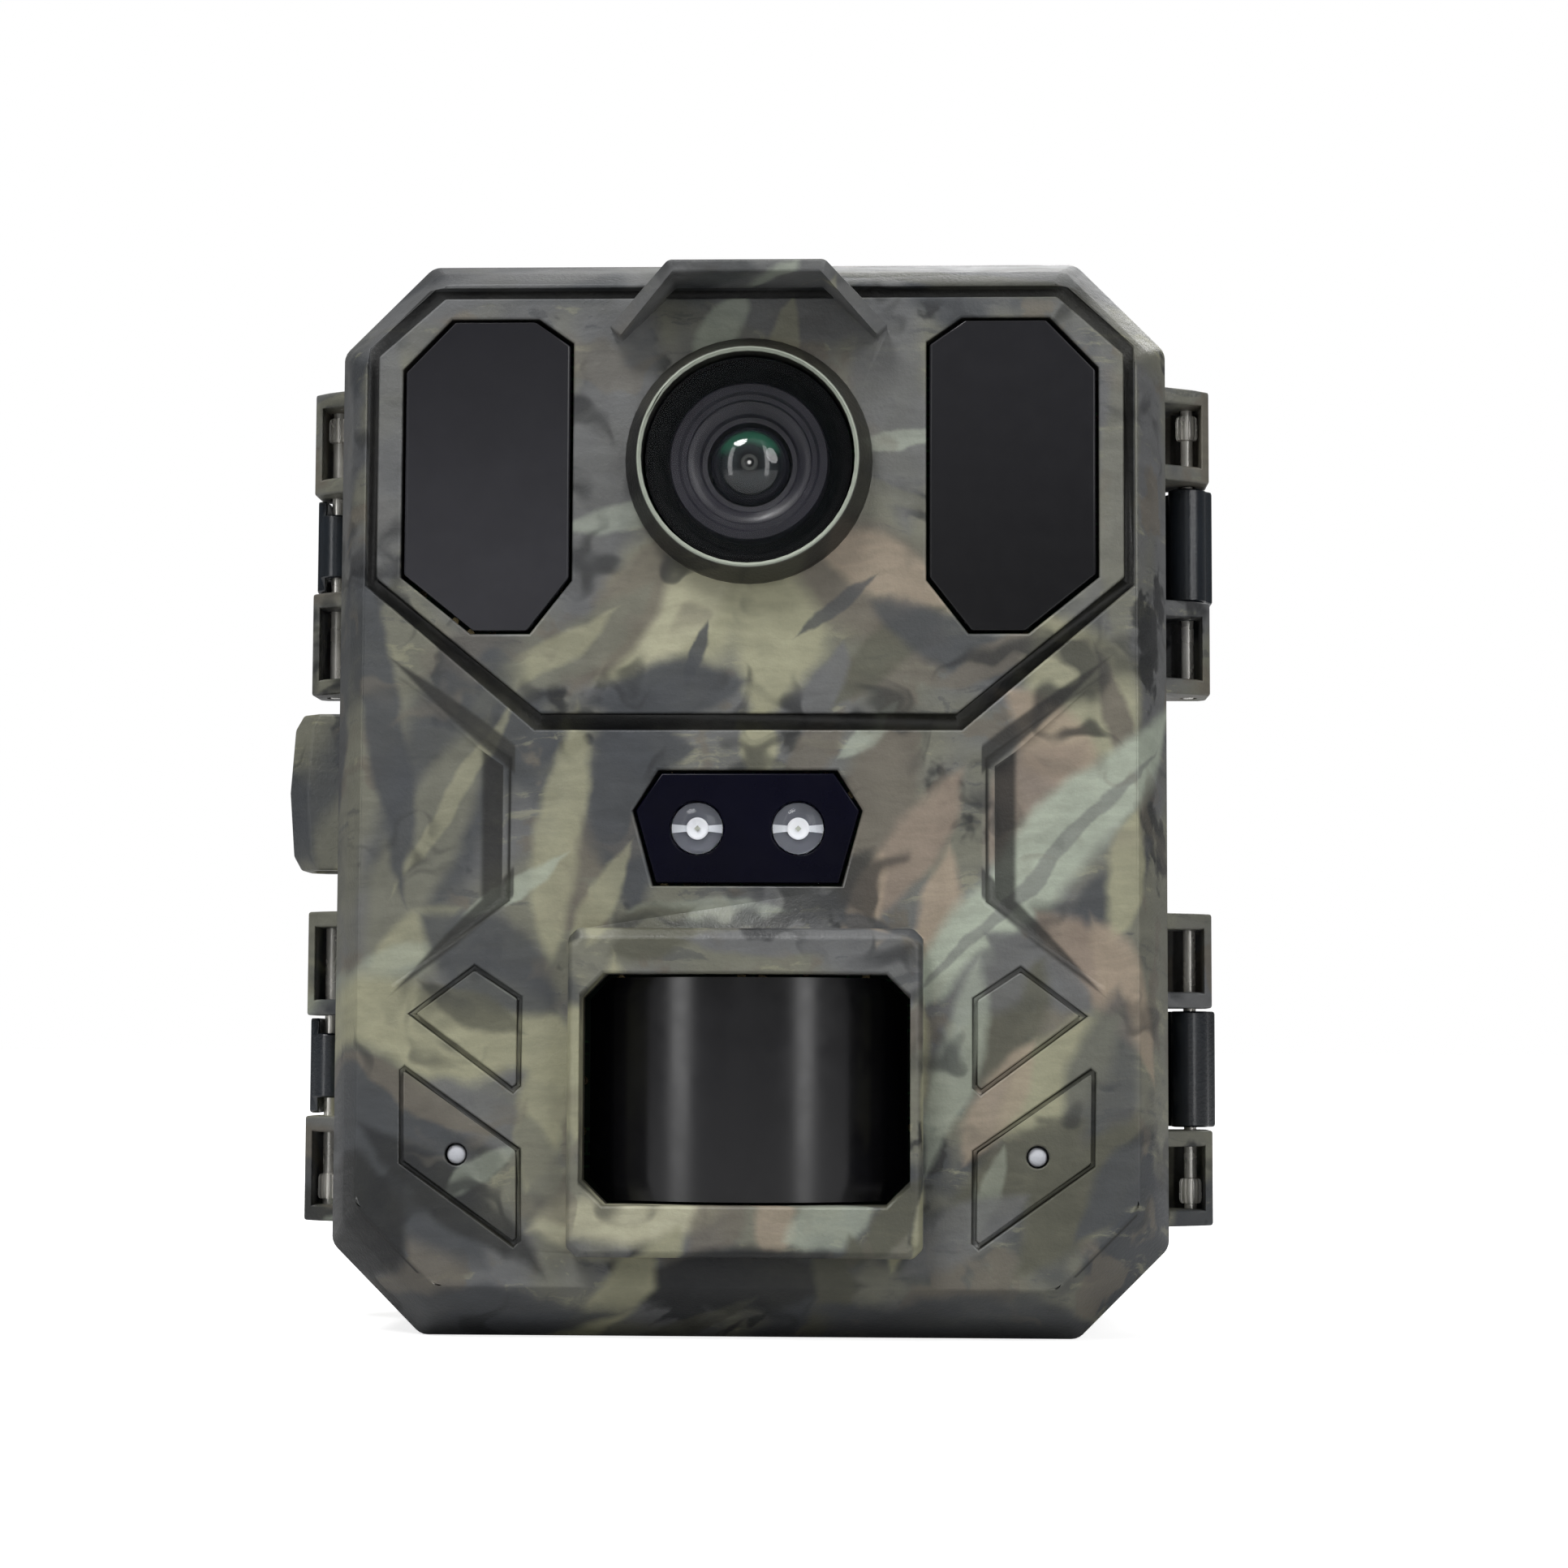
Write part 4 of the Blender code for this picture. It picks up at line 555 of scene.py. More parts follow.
def clear(name, colour, roughness, ior):
    made, tree, face = newMaterial(name)
    haze = uneven(tree, here(tree), 500.0, 3.0, 0.6, 0.4, 0.8, roughness, roughness + 0.03)
    feed(tree, face, {"Base Color": tint(*colour), "Roughness": haze, "Transmission Weight": 1.0, "IOR": ior})
    return made


def circuit():  # green mask with copper traces, round pads and a faint weave
    made, tree, face = newMaterial("circuitMask")
    spot = here(tree)
    grid = wire(tree, "Mapping", {"Vector": spot, "Rotation": (math.pi / 2, 0.0, 0.0)}).outputs[0]
    bricks = wire(tree, "TexBrick", {"Vector": grid, "Scale": 320.0, "Mortar Size": 0.05, "Mortar Smooth": 0.2,
                                     "Brick Width": 1.6, "Row Height": 0.42},
                  offset=0.37, squash=0.7, squash_frequency=3)
    trace = product(tree, bricks.outputs["Fac"], uneven(tree, spot, 130.0, 1.0, 0.5, 0.45, 0.5))
    dots = wire(tree, "TexVoronoi", {"Vector": grid, "Scale": 420.0, "Randomness": 0.55},
                voronoi_dimensions="2D").outputs[0]
    pads = product(tree, ramp(tree, dots, 0.2, 0.16), uneven(tree, spot, 90.0, 1.0, 0.5, 0.5, 0.54))
    shade = blend(tree, uneven(tree, spot, 220.0, 3.0, 0.5, 0.35, 0.65), tint(18, 74, 44), tint(24, 88, 52))
    shade = blend(tree, trace, shade, tint(46, 124, 70))
    high = calc(tree, "ADD", trace, product(tree, pads, 1.4))
    feed(tree, face, {"Base Color": blend(tree, pads, shade, tint(206, 186, 140)),
                      "Roughness": ramp(tree, pads, 0.0, 1.0, 0.34, 0.22),
                      "Metallic": product(tree, pads, 0.9),
                      "Normal": raised(tree, high, 0.5, 0.00004)})
    return made


def cellWrap():  # shrink sleeve with a gold band at the button end and thin rings
    made, tree, face = newMaterial("cellWrap")
    spot = here(tree)
    height = product(tree, wire(tree, "SeparateXYZ", {0: spot}).outputs[2], 1000.0)
    line = product(tree, ramp(tree, height, 45.6, 45.7), ramp(tree, height, 46.3, 46.2))
    shade = blend(tree, uneven(tree, spot, 60.0, 3.0, 0.5, 0.3, 0.7), tint(26, 58, 104), tint(30, 66, 116))
    shade = blend(tree, ramp(tree, height, 47.0, 47.3), shade, tint(176, 138, 74))
    drawn = wire(tree, "Mapping", {"Vector": spot, "Scale": (1.0, 1.0, 0.15)}).outputs[0]
    feed(tree, face, {"Base Color": blend(tree, line, shade, tint(214, 214, 208)),
                      "Roughness": uneven(tree, spot, 400.0, 3.0, 0.5, 0.3, 0.7, 0.22, 0.34),
                      "Normal": raised(tree, noise(tree, drawn, 900.0, 2.0), 0.15, 0.0001)})
    return made


def displayGlass():  # dark screen with faint pixel rows under the gloss
    made, tree, face = newMaterial("displayPanel")
    spot = here(tree)
    rows = wire(tree, "TexWave", {"Vector": spot, "Scale": 900.0, "Distortion": 0.0},
                bands_direction="Z").outputs[1]
    feed(tree, face, {"Base Color": blend(tree, rows, tint(17, 20, 24), tint(23, 27, 32)),
                      "Roughness": uneven(tree, spot, 60.0, 3.0, 0.5, 0.3, 0.7, 0.14, 0.22)})
    return made


def smoked(name, low, high):  # dark infrared plastic with a painted reflection gradient: one colour low down and another high up
    made, tree, face = newMaterial(name)
    spot = here(tree)
    up = wire(tree, "SeparateXYZ", {0: spot}).outputs[2]
    shade = blend(tree, ramp(tree, up, 0.072, 0.104), tint(*low), tint(*high))
    mottle = uneven(tree, spot, 200.0, 3.0, 0.6, 0.3, 0.7, 0.0, 0.12)
    feed(tree, face, {"Base Color": blend(tree, mottle, shade, tint(20, 20, 22)), "Specular IOR Level": 0.25,
                      "Roughness": uneven(tree, spot, 500.0, 3.0, 0.6, 0.3, 0.7, 0.2, 0.25)})
    return made


# painted reflections on the front element: from and to radius in mm and the colour of each ring; the last is a
# bright glint at the middle
paintedLensReflections = ((3.2, 3.7, (32, 32, 40)), (1.5, 1.1, (20, 22, 24)), (0.95, 0.75, (74, 76, 74)),
              (0.55, 0.45, (14, 15, 16)), (0.24, 0.14, (232, 232, 228)))


def lensElement():  # coated front element with painted reflections: faint rings, a bright glint at the middle and a green crescent above
    made, tree, face = newMaterial("lensElement")
    spot = here(tree)
    side, _, height = inMillimetres(tree, spot)
    high = calc(tree, "SUBTRACT", height, printLook["lensAxis"])
    away = radial(tree, side, high)
    shade = blend(tree, ramp(tree, away, 2.3, 2.9), tint(36, 42, 44), tint(18, 22, 26))
    for start, full, colour in paintedLensReflections:
        shade = blend(tree, ramp(tree, away, start, full), shade, tint(*colour))
    paintedCrescentReflection = product(tree, ramp(tree, away, 1.7, 2.6), ramp(tree, away, 3.7, 3.0),
                       ramp(tree, high, 0.4, 2.0), 0.55)
    feed(tree, face, {"Base Color": blend(tree, paintedCrescentReflection, shade, tint(52, 118, 92)),
                      "Roughness": uneven(tree, spot, 300.0, 2.0, 0.5, 0.3, 0.7, 0.03, 0.06),
                      "Coat Weight": 0.6, "Coat Roughness": 0.02})
    return made


def thinWindow():  # a flat coated window, all but clear
    made, tree, face = newMaterial("coatedWindow")
    feed(tree, face, {"Base Color": tint(14, 20, 24), "Alpha": 0.1,
                      "Roughness": uneven(tree, here(tree), 400.0, 3.0, 0.6, 0.3, 0.7, 0.02, 0.05)})
    return made


looks = {
    "camo": camoCase(),
    "nylon": plastic("glossNylon", (20, 27, 34), (13, 18, 24), 0.24, 0.03, 0.6, (70, 76, 84)),
    # the two windows share one smoked plastic with opposite painted reflection gradients, lighter below on the
    # left and darker below on the right
    "smokeLeftPaintedReflection": smoked("smokedLeftPaintedReflection", (46, 46, 50), (30, 30, 34)),
    "smokeRightPaintedReflection": smoked("smokedRightPaintedReflection", (20, 20, 22), (32, 32, 35)),
    "detector": plastic("detectorLens", (9, 9, 13), (7, 7, 10), 0.2, 0.0),
    "plate": plastic("indicatorPlate", (1, 1, 17), (1, 1, 14), 0.3, 0.0, 0.12),
    "velvet": plastic("lensBlack", (3, 3, 4), (2, 2, 3), 0.7, 0.02, 0.1),
    "barrel": plastic("barrelBlack", (36, 34, 44), (27, 26, 35), 0.38, 0.02),
    "grey": plastic("innerGrey", (70, 72, 75), (60, 62, 66), 0.52, 0.16, 0.4, (110, 112, 114), 0.05),
    "rubber": plastic("keyRubber", (38, 39, 41), (30, 31, 33), 0.62, 0.08, 0.35, (72, 73, 75)),
    "mark": plastic("keyMark", (198, 199, 200), (180, 181, 184), 0.5, 0.03, 0.4),
    "seal": plastic("sealRubber", (30, 30, 31), (22, 22, 23), 0.74, 0.1, 0.3),
    "card": plastic("cardBlack", (28, 29, 32), (22, 23, 26), 0.4, 0.05, 0.4, (60, 62, 66)),
    "membrane": plastic("ventMembrane", (184, 186, 192), (158, 160, 166), 0.45, 0.1, 0.4),
    "holder": plastic("holderBlack", (26, 27, 29), (20, 21, 23), 0.5, 0.08, 0.4),
    "pin": plastic("nickelPin", (232, 230, 224), (212, 209, 202), 0.26, 0.02, 0.9, metallic=0.5),
    "lampGrey": plastic("lampGrey", (104, 105, 112), (88, 89, 98), 0.4, 0.02),
    "lampWhite": plastic("lampSilver", (236, 236, 238), (214, 215, 220), 0.3, 0.02, 0.6),
    "lampDie": plastic("lampDie", (178, 180, 168), (150, 152, 140), 0.35, 0.02),
    "steel": metal("screwSteel", (186, 188, 192), (140, 142, 146), 0.3, (1.0, 8.0, 1.0)),
    "socket": metal("socketSteel", (196, 198, 200), (160, 162, 165), 0.28, (10.0, 1.0, 1.0)),
    "brass": metal("insertBrass", (206, 170, 98), (170, 132, 70), 0.3),
    "clear": clear("clearPlastic", (244, 246, 248), 0.02, 1.2),
    "board": circuit(),
    "cell": cellWrap(),
    "display": displayGlass(),
    "element": lensElement(),
    "coated": thinWindow(),
}
print("materials made:", len(looks))


# softened copies of the frame's solids


def finish(bm, name, node, look, smoothAngle=38, hides=True):
    mesh = bpy.data.meshes.new(name)
    bmesh.ops.recalc_face_normals(bm, faces=bm.faces)
    bm.to_mesh(mesh)
    bm.free()
    mesh.materials.append(looks[look])
    mesh.shade_smooth()
    mesh.set_sharp_from_angle(angle=math.radians(smoothAngle))
    piece = bpy.data.objects.new(name, mesh)
    bpy.context.scene.collection.objects.link(piece)
    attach(piece, bodyOf[node])
    if hides:
        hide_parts(node)
    return piece


def welded(node):
    bm = bmesh.new()
    bm.from_mesh(nodes[node].data)
    bmesh.ops.remove_doubles(bm, verts=bm.verts, dist=2e-6)
    bmesh.ops.dissolve_limit(bm, angle_limit=math.radians(0.6), verts=bm.verts, edges=bm.edges)
    bmesh.ops.triangulate(bm, faces=[face for face in bm.faces if len(face.verts) > 4])
    return bm


def roomBeside(edge):  # how far an edge can be cut back before it runs into a neighbour
    room = 1.0
    for end in edge.verts:
        away = (edge.other_vert(end).co - end.co).normalized()
        for other in end.link_edges:
            if other is edge or other.calc_face_angle(1.0) < math.radians(2.0):
                continue
            lean = (other.other_vert(end).co - end.co).normalized()
            slant = lean.cross(away).length if lean.dot(away) > 0 else 1.0
            room = min(room, other.calc_length() * max(slant, 0.02))
    return room


rounding = {"share": 0.4, "sharp": 24, "smooth": 50}


def softened(node, name, look, radius, segments):  # a solid of the frame with its hard edges rounded
    bm = welded(node)
    weights = bm.edges.layers.float.new("bevel_weight_edge")
    sharp = math.radians(rounding["sharp"])
    for edge in bm.edges:
        if len(edge.link_faces) != 2 or not edge.is_convex or edge.calc_face_angle(0.0) < sharp:
            continue
        edge[weights] = min(1.0, rounding["share"] * roomBeside(edge) / (radius * mm))
    piece = finish(bm, name, node, look, rounding["smooth"])
    edges = piece.modifiers.new("roundedEdges", "BEVEL")
    edges.limit_method = "WEIGHT"
    edges.width = radius * mm
    edges.segments = segments
    edges.use_clamp_overlap = False
    edges.miter_outer = "MITER_ARC"
    even = piece.modifiers.new("broadFacesFlat", "WEIGHTED_NORMAL")
    even.mode = "FACE_AREA"
    even.weight = 100
    even.keep_sharp = True
    return piece


softened("front_shell", "frontShellSkin", "camo", 0.3, 3)
softened("rear_cover", "rearCoverSkin", "camo", 0.4, 3)
print("shells rounded")

simple = [
    ("ir_window_left", "smokeLeftPaintedReflection", "smoked_window", 0.2),
    ("ir_window_right", "smokeRightPaintedReflection", "smoked_window", 0.2),
    ("indicator_plate", "plate", "indicator_plate", 0.15),
    ("ir_led_board_left", "board", "circuit_board", 0.1),
    ("ir_led_board_right", "board", "circuit_board", 0.1),
    ("lens_holder", "holder", "lens_black", 0.3), ("image_sensor", "holder", "inner_grey", 0.1),
    ("main_board", "board", "circuit_board", 0.1), ("mid_frame", "grey", "inner_grey", 0.25),
    ("lcd_panel", "display", "display", 0.2), ("lcd_window", "clear", "clear_plastic", 0.2),
    ("sd_socket", "socket", "socket_steel", 0.15), ("usb_port", "socket", "socket_steel", 0.15),
    ("speaker", "holder", "lens_black", 0.2), ("microphone", "socket", "nickel_pin", 0.2),
    ("contact_strip_bottom", "socket", "nickel_pin", 0.1), ("contact_strip_top", "socket", "nickel_pin", 0.1),
    ("seal_gasket", "seal", "seal_rubber", 0.4), ("tripod_insert", "brass", "brass_insert", 0.15),
    ("hinge_arm_upper", "nylon", "black_nylon", 0.3), ("hinge_arm_lower", "nylon", "black_nylon", 0.3),
    ("latch_lever_upper", "nylon", "black_nylon", 0.3), ("latch_lever_lower", "nylon", "black_nylon", 0.3),
    ("mode_switch", "rubber", "key_rubber", 0.3), ("sd_card", "card", "card_black", 0.2),
    ("pir_sensor", "steel", "nickel_pin", 0.15),
]
for node, look, slot, radius in simple:
    first, *others = node.split("_")
    softened(node, first + "".join(word.capitalize() for word in others) + "Skin", look, radius, 2)
print("plain pieces rounded:", len(simple))


# pieces made anew


def spun(profile, axis, centre, sides=96, closed=False):  # turned from (radius, place along the axis) in mm
    bm = bmesh.new()
    turn = {"x": lambda u, v, w: (w, u, v), "y": lambda u, v, w: (u, w, v),
            "z": lambda u, v, w: (u, v, w)}[axis]
    angles = [2 * math.pi * i / sides for i in range(sides)]
    rings = []
    for radius, along in profile:
        spots = [(radius * math.cos(a), radius * math.sin(a)) for a in angles] if radius else [(0, 0)]
        rings.append([bm.verts.new(Vector(turn(u, v, along)) * mm + Vector(centre)) for u, v in spots])
    for low, high in zip(rings, rings[1:] + (rings[:1] if closed else [])):
        for i in range(sides):
            j = (i + 1) % sides
            loop = [low[i % len(low)], low[j % len(low)], high[j % len(high)], high[i % len(high)]]
            bm.faces.new(list(dict.fromkeys(loop)))
    return bm


def skin(bm, rings):  # faces between rings of as many points each, with both ends closed
    for low, high in zip(rings, rings[1:]):
        for i in range(len(low)):
            j = (i + 1) % len(low)
            bm.faces.new((low[i], low[j], high[j], high[i]))
    bm.faces.new(rings[0][::-1])
    bm.faces.new(rings[-1])


def stand(piece, low, high, flip):  # sets a piece made upright on its place, upside down where flip is set
    middle = (low + high) / 2
    piece.matrix_world = Matrix.Translation((middle.x, middle.y, high.z if flip else low.z)) @ \
        Matrix.Rotation(math.pi if flip else 0.0, 4, "X")


def centreOf(node):
    low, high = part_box(node)
    return (low + high) / 2


lensLook = {
    "axis": (0.0, 0.0, 89.6 * mm), "window": (10.6, -26.5, 1.0), "gap": 0.3,
    "hood": (10.6, 8.5, -16.5), "steps": 9, "stepsEnd": -17.0, "lip": (0.5, 0.12, 0.32),
    "barrel": ((8.2, 4.0), (8.2, 1.15), (8.05, 0.95), (7.3, 0.95), (7.15, 1.1), (7.0, 1.35), (6.5, 1.4),
               (6.4, 1.5), (6.35, 1.75), (5.75, 1.85), (5.6, 2.0), (5.2, 2.15), (5.1, 2.3),
               (4.9, 2.9), (4.4, 3.0)),
    "barrelBack": (4.4, 7.0, -13.2, 4.2), "element": (4.05, 1.5, 2.3, 3.6, 4.9)}


def makeLens():
    axis = lensLook["axis"]
    radius, front, thick = lensLook["window"]
    disc = [(0, front), (radius - 0.2, front), (radius, front + 0.2), (radius, front + thick),
            (0, front + thick)]
    finish(spun(disc, "y", axis), "lensWindowDisc", "lens_window", "coated")
    start = front + thick + lensLook["gap"]
    outer, inner, end = lensLook["hood"]
    inset, lip, drop = lensLook["lip"]
    count = lensLook["steps"]
    run = abs(start) + lensLook["stepsEnd"] - 0.4
    steps = [(outer, start), (outer, end), (inner, end)]
    for i in range(count):  # baffle rings that step down into the dark
        depth = lensLook["stepsEnd"] - run * i / count
        wide = inner + (outer - inset - inner) * (i / count) ** 2
        steps += [(wide, depth), (wide + lip, depth - drop)]
    finish(spun(steps, "y", axis, 96, True), "lensHoodBaffles", "lens_hood_ring", "velvet")
    bore, flange, back, shoulder = lensLook["barrelBack"]
    barrel = [(r, start + a) for r, a in lensLook["barrel"]]
    barrel += [(bore, back), (flange, back), (flange, start + shoulder)]
    finish(spun(barrel, "y", axis, 96, True), "lensBarrelRings", "lens_barrel", "barrel")
    rim, near, bulge, side, back = lensLook["element"]
    curve = [t * 0.1 for t in range(1, 14)]
    glass = [(rim * math.sin(a), start + near + bulge * (1 - math.cos(a))) for a in curve]
    glass = [(0, start + near)] + [(r, a) for r, a in glass if r < rim - 0.01]
    glass += [(rim, start + side), (rim, start + back), (0, start + back)]
    finish(spun(glass, "y", axis, 64), "lensFrontElement", "lens_front_glass", "element", 50)


detector = {"half": 16.3, "low": 14.1, "top": 36.7, "radius": 22.0, "front": -26.2, "wall": 1.0, "corner": 2.2,
            "steps": 56}


def makeDetector():  # part of a cylinder's wall, with its corners cut
    bm = bmesh.new()
    outer, half = detector["radius"], detector["half"]
    spread = math.asin(half / outer)
    rows = []
    for i in range(detector["steps"] + 1):
        turn = -spread + 2 * spread * i / detector["steps"]
        trim = max(0.0, abs(outer * math.sin(turn)) - (half - detector["corner"]))
        corners = []
        for radius in (outer, outer - detector["wall"]):
            x, y = radius * math.sin(turn), detector["front"] + outer - radius * math.cos(turn)
            corners.append([Vector((x, y, z)) * mm for z in (detector["low"] + trim, detector["top"] - trim)])
        (a, b), (d, c) = corners
        rows.append([bm.verts.new(p) for p in (a, b, c, d)])
    skin(bm, rows)
    finish(bm, "detectorLens", "pir_lens", "detector")


lampLook = {"front": -24.0, "back": 1.3, "dome": (2.6, 0.35, 1.35), "domeBase": (0.5, 1.15),
            "bar": (2.5, 0.42, 0.26), "waist": 0.7,
            "body": ((0, 0), (2.2, 0), (2.6, -0.1), (2.6, 4.2), (3.05, 4.2), (3.05, 5.2), (0, 5.2)),
            "cup": ((1.05, -0.02), (1.05, -0.3), (0.92, -0.34), (0.8, -0.3), (0.45, -0.16), (0, -0.16)),
            "die": ((0.3, -0.17), (0.3, -0.3), (0, -0.3))}


def makeLamp(side):
    node = "status_lamp_" + side
    middle = centreOf(node)
    axis = (middle.x, lampLook["front"] * mm, middle.z)
    back = lampLook["back"]
    radius, crown, bulge = lampLook["dome"]
    near, far = lampLook["domeBase"]
    curve = [t * math.pi / 28 for t in range(1, 14)]
    dome = [(0, crown - bulge)] + [(radius * math.sin(a), crown - bulge * math.cos(a)) for a in curve]
    dome += [(radius, near), (radius, far), (0, far)]
    finish(spun(dome, "y", axis, 64), "lampDome" + side.capitalize(), node, "clear", 60)

    def inner(part, look, sides, angle):
        shape = spun([(r, back + a) for r, a in lampLook[part]], "y", axis, sides)
        name = "lamp" + part.capitalize() + side.capitalize()
        finish(shape, name, node, look, angle, False)

    inner("body", "lampGrey", 48, 30)
    long, high, low = lampLook["bar"]
    waist = lampLook["waist"]
    quarter = [(-long, -high), (-waist, -low), (waist, -low), (long, -high)]
    outline = quarter + [(-x, -z) for x, z in quarter]
    bm = bmesh.new()
    skin(bm, [[bm.verts.new((axis[0] + x * mm, axis[1] + (back + y) * mm, axis[2] + z * mm))
               for x, z in outline] for y in (-0.12, -0.01)])
    finish(bm, "lampLead" + side.capitalize(), node, "lampWhite", 30, False)
    inner("cup", "lampWhite", 48, 40)
    inner("die", "lampDie", 4, 30)


portLook = {"nose": (0.98, -23.35, 0.4),
            "body": ((0.98, -23.2), (0.98, -21.35), (2.1, -21.3), (2.15, -20.75), (0, -20.7))}


def makePort(side):  # the pale plug seen in each small hole of the front
    node = "port_membrane_" + side
    middle = centreOf(node)
    axis = (middle.x, 0.0, middle.z)
    radius, base, bulge = portLook["nose"]
    curve = [t * 0.26 for t in range(1, 6)]
    plug = [(0, base - bulge)] + [(radius * math.sin(a), base - bulge * math.cos(a)) for a in curve]
    plug += portLook["body"]
    finish(spun(plug, "y", axis, 40), "portPlug" + side.capitalize(), node, "membrane", 40)


def tube(path, radius, sides=10):
    bm = bmesh.new()
    angles = [2 * math.pi * k / sides for k in range(sides)]
    rings = []
    for i, point in enumerate(path):
        ahead = (path[min(i + 1, len(path) - 1)] - path[max(i - 1, 0)]).normalized()
        side = ahead.cross(Vector((0, 0, 1))).normalized()
        rise = side.cross(ahead)
        rings.append([bm.verts.new(point + side * radius * math.cos(a) + rise * radius * math.sin(a))
                      for a in angles])
    skin(bm, rings)
    return bm


cellLook = {"hollow": 0.35, "foot": ((2.2, 0.35), (1.6, 0.05), (0.8, 0.0), (0.25, 0.15), (0.0, 0.6)),
            "top": ((0.0, 2.3), (0.2, 1.8), (0.9, 1.5), (1.6, 1.75)),
            "button": ((3.1, 1.7), (2.9, 1.3), (2.75, 0.25), (2.5, 0.0))}
spring = {"turns": 3.5, "wide": 3.35, "narrow": 1.9, "wire": 0.22, "steps": 28}


def makeCell(number):
    node = f"battery_cell_{number}"
    low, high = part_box(node)
    tall, wide = (high.z - low.z) / mm, (high.x - low.x) / 2 / mm
    profile = [(0, cellLook["hollow"])] + [(wide - a, b) for a, b in cellLook["foot"]]
    profile += [(wide - a, tall - b) for a, b in cellLook["top"]]
    profile += [(r, tall - b) for r, b in cellLook["button"]] + [(0, tall)]
    flip = number % 2 == 0
    cell = finish(spun(profile, "z", (0, 0, 0), 64), f"batteryCell{number}", node, "cell", 40)
    stand(cell, low, high, flip)
    node = f"cell_spring_{number}"
    low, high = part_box(node)
    middle = (low + high) / 2
    count = int(spring["turns"] * spring["steps"])
    thick = spring["wire"] * mm
    path = []
    for i in range(count + 1):
        share = i / count
        radius = (spring["wide"] + (spring["narrow"] - spring["wide"]) * share) * mm
        rise = low.z + thick + (high.z - low.z - 2 * thick) * (1 - share if flip else share)
        angle = 2 * math.pi * spring["turns"] * share
        path.append(Vector((middle.x + radius * math.cos(angle), middle.y + radius * math.sin(angle), rise)))
    finish(tube(path, thick), f"cellSpring{number}", node, "socket", 60)


pinLook = {"radius": 0.68, "tooth": 1.2, "root": 0.98, "teeth": 14, "from": 2.2, "to": 4.9,
           "fill": 0.62, "lead": 0.12}


def makePin(side, level):
    node = f"{side}_pin_{level}"
    low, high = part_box(node)
    tall = (high.z - low.z) / mm
    radius, root, start, end = pinLook["radius"], pinLook["root"], pinLook["from"], pinLook["to"]
    bm = spun([(0, 0), (radius - 0.15, 0), (radius, 0.2), (radius, start), (root, start + 0.05), (root, end),
               (radius, end + 0.1), (radius, tall - 0.2), (radius - 0.15, tall), (0, tall)], "z", (0, 0, 0), 40)
    count, lead = pinLook["teeth"], pinLook["lead"]
    half = math.pi / count * pinLook["fill"]
    for k in range(count):  # splines rolled into the shank near its end
        angle = 2 * math.pi * k / count
        corners = []
        for z, cut in ((start + 0.1, lead), (start + 0.4, 0.0), (end - 0.4, 0.0), (end - 0.05, lead)):
            out, inn = pinLook["tooth"] - cut, root - 0.1
            corners.append([bm.verts.new(Vector((r * math.cos(angle + t), r * math.sin(angle + t), z)) * mm)
                            for r, t in ((inn, -half), (out, -half * 0.45), (out, half * 0.45), (inn, half))])
        skin(bm, corners)
    pin = finish(bm, f"{side}Pin{level.capitalize()}", node, "pin", 35)
    stand(pin, low, high, level == "upper")


screwLook = {"slot": (0.32, 1.25), "sink": 0.75}


def plainObject(bm, name):  # a helper that is taken away again once the cross is cut
    mesh = bpy.data.meshes.new(name)
    bm.to_mesh(mesh)
    bm.free()
    made = bpy.data.objects.new(name, mesh)
    bpy.context.scene.collection.objects.link(made)
    return made


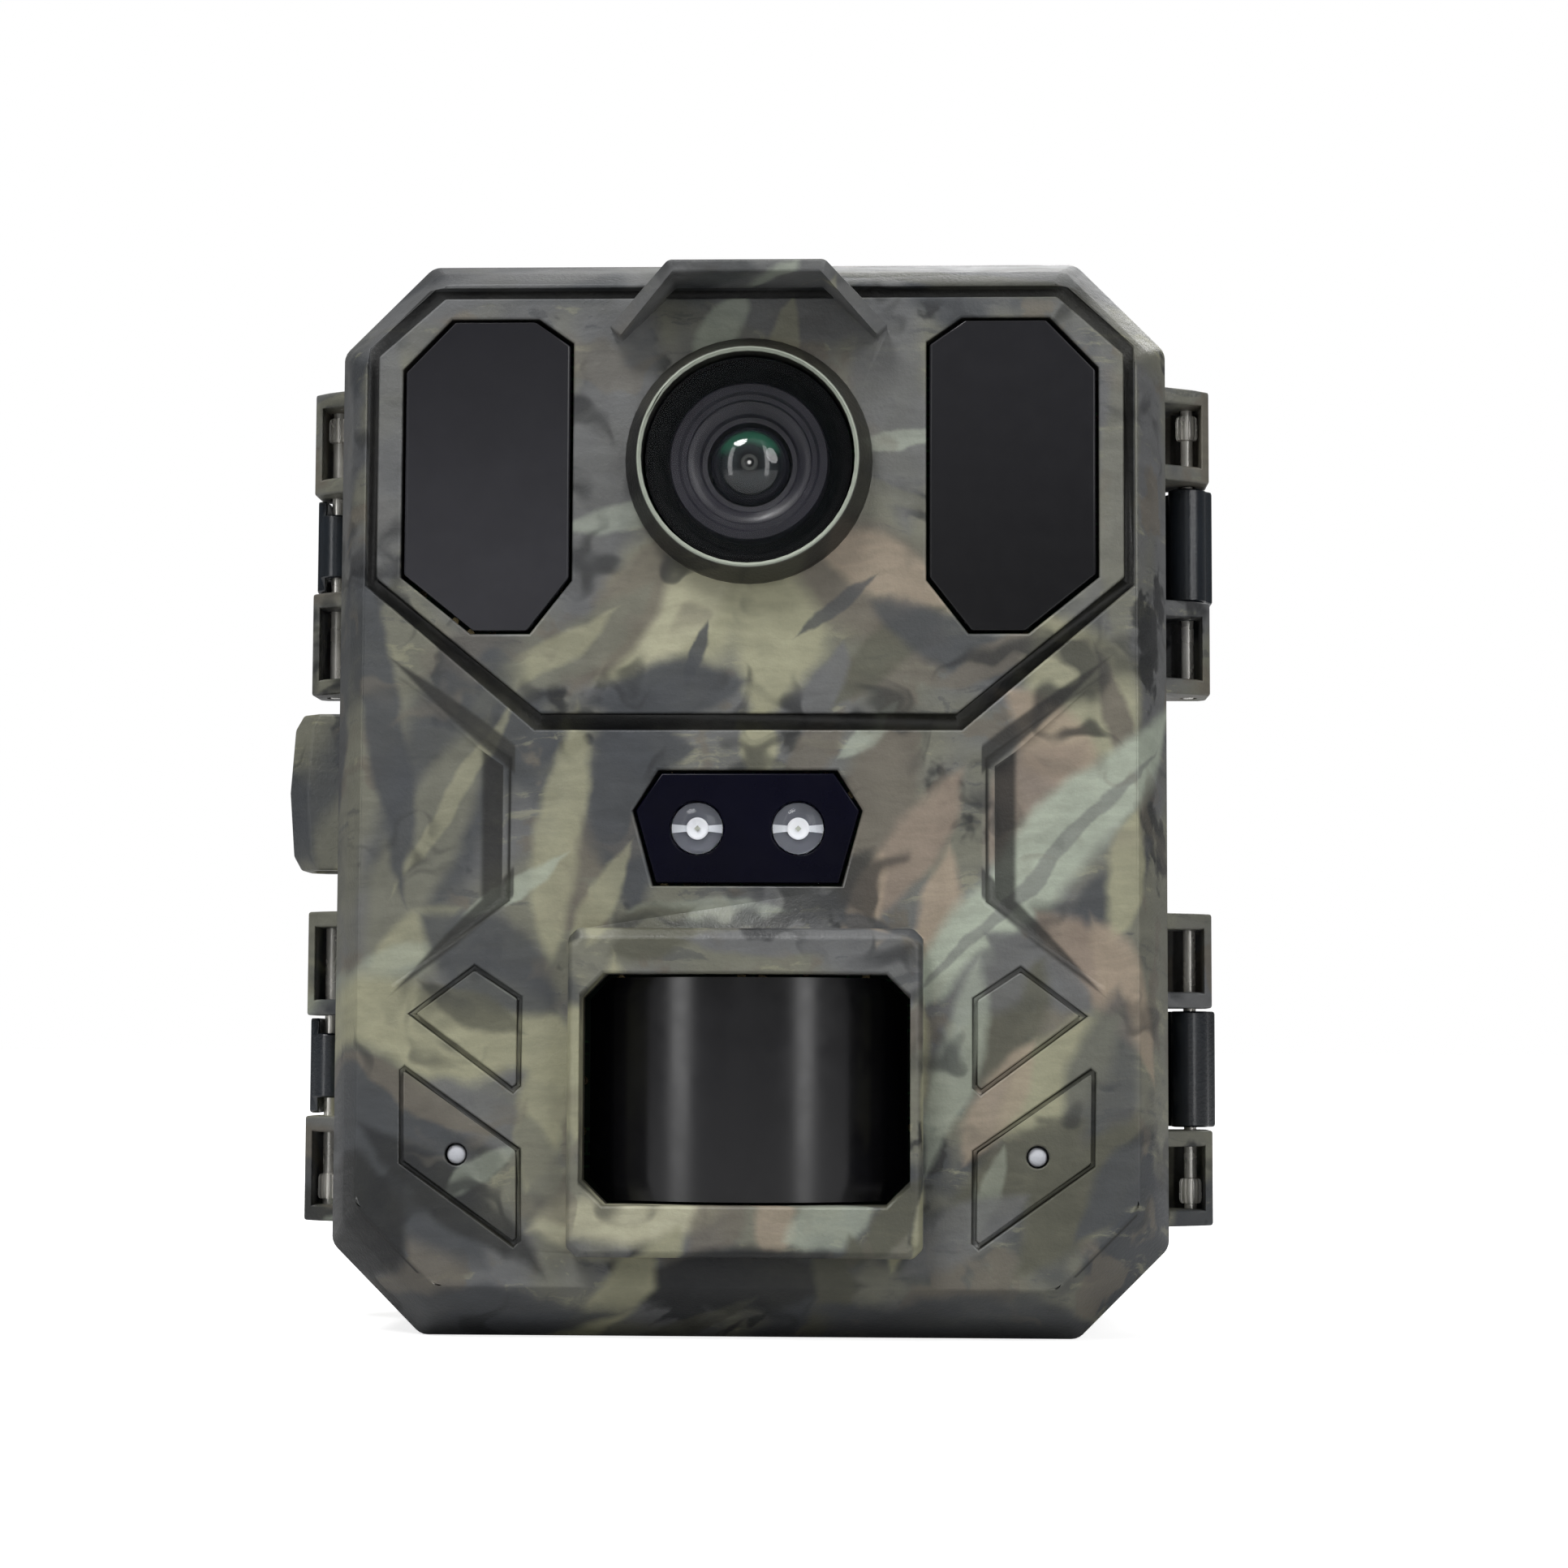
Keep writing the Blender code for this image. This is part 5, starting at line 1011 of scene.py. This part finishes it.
def makeScrew(node, name, axis, head, shank, top):  # a pan head with a cross recess, which faces along +axis
    low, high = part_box(node)
    middle = (low + high) / 2
    index = "xyz".index(axis)
    base, end = low[index] / mm, high[index] / mm
    centre = [0.0 if i == index else middle[i] for i in range(3)]
    profile = [(0, base), (shank - 0.2, base), (shank, base + 0.4), (shank, end - top), (head, end - top),
               (head, end - top * 0.6), (head - 0.25, end - top * 0.22), (head * 0.6, end - 0.02), (0, end)]
    bm = spun(profile, axis, centre, 40)
    bmesh.ops.recalc_face_normals(bm, faces=bm.faces)
    blank = plainObject(bm, "screwBlank")
    thin, long = screwLook["slot"][0] * mm, min(screwLook["slot"][1], head - 0.5) * mm
    cutter = bmesh.new()
    flat = [i for i in range(3) if i != index]
    centre[index] = high[index]
    for pair in ((thin, long), (long, thin)):
        sizes = [screwLook["sink"] * mm] * 3
        sizes[flat[0]], sizes[flat[1]] = pair
        made = bmesh.ops.create_cube(cutter, size=2.0)["verts"]
        bmesh.ops.scale(cutter, vec=sizes, verts=made)
        bmesh.ops.translate(cutter, vec=centre, verts=made)
    cross = plainObject(cutter, "crossCutter")
    step = blank.modifiers.new("cross", "BOOLEAN")
    step.operation = "DIFFERENCE"
    step.object = cross
    step.use_self = True
    graph = bpy.context.evaluated_depsgraph_get()
    bm = bmesh.new()
    bm.from_mesh(blank.evaluated_get(graph).to_mesh())
    bpy.data.objects.remove(blank, do_unlink=True)
    bpy.data.objects.remove(cross, do_unlink=True)
    finish(bm, name, node, "steel", 35)


keyLook = {"stem": 1.2, "foot": -0.7,
           "cap": ((2.6, 0.5), (2.5, 0.2), (2.25, 0.0), (1.9, 0.03), (1.2, 0.14), (0, 0.18)),
           "mark": 0.95, "markDepth": (0.35, 0.06), "turns": {"up": 90, "left": 0, "down": -90, "right": 180}}


def makeKey(name):
    node = "key_" + name
    low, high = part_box(node)
    middle = (low + high) / 2
    top, base = high.y / mm, low.y / mm
    stem, foot, cap = keyLook["stem"], keyLook["foot"], keyLook["cap"]
    profile = [(0, base), (stem, base), (stem, foot), (cap[0][0], foot)] + [(r, top - drop) for r, drop in cap]
    finish(spun(profile, "y", (middle.x, 0, middle.z), 56), name + "Key", node, "rubber", 40)
    size, turns = keyLook["mark"], keyLook["turns"]
    sides = 3 if name in turns else 24  # an arrow, or a round dot on the middle key
    angles = [math.radians(turns.get(name, 0) + 360 * i / sides) for i in range(sides)]
    bm = bmesh.new()
    across, up = middle.x / mm, middle.z / mm
    skin(bm, [[bm.verts.new(Vector((across + size * math.cos(a), top - depth, up + size * math.sin(a))) * mm)
               for a in angles] for depth in keyLook["markDepth"]])
    finish(bm, name + "Mark", node, "mark", 30, False)


makeLens()
makeDetector()
for side in ("left", "right"):
    makeLamp(side)
    makePort(side)
for number in (1, 2, 3, 4):
    makeCell(number)
    makeScrew(f"frame_screw_{number}", f"frameScrew{number}", "y", 2.4, 0.9, 1.6)
for level in ("upper", "lower"):
    makePin("hinge", level)
    makePin("latch", level)
    makeScrew(f"arm_screw_{level}", f"armScrew{level.capitalize()}", "x", 1.9, 0.65, 1.05)
for name in ("up", "down", "left", "right", "ok"):
    makeKey(name)
print("new pieces made")
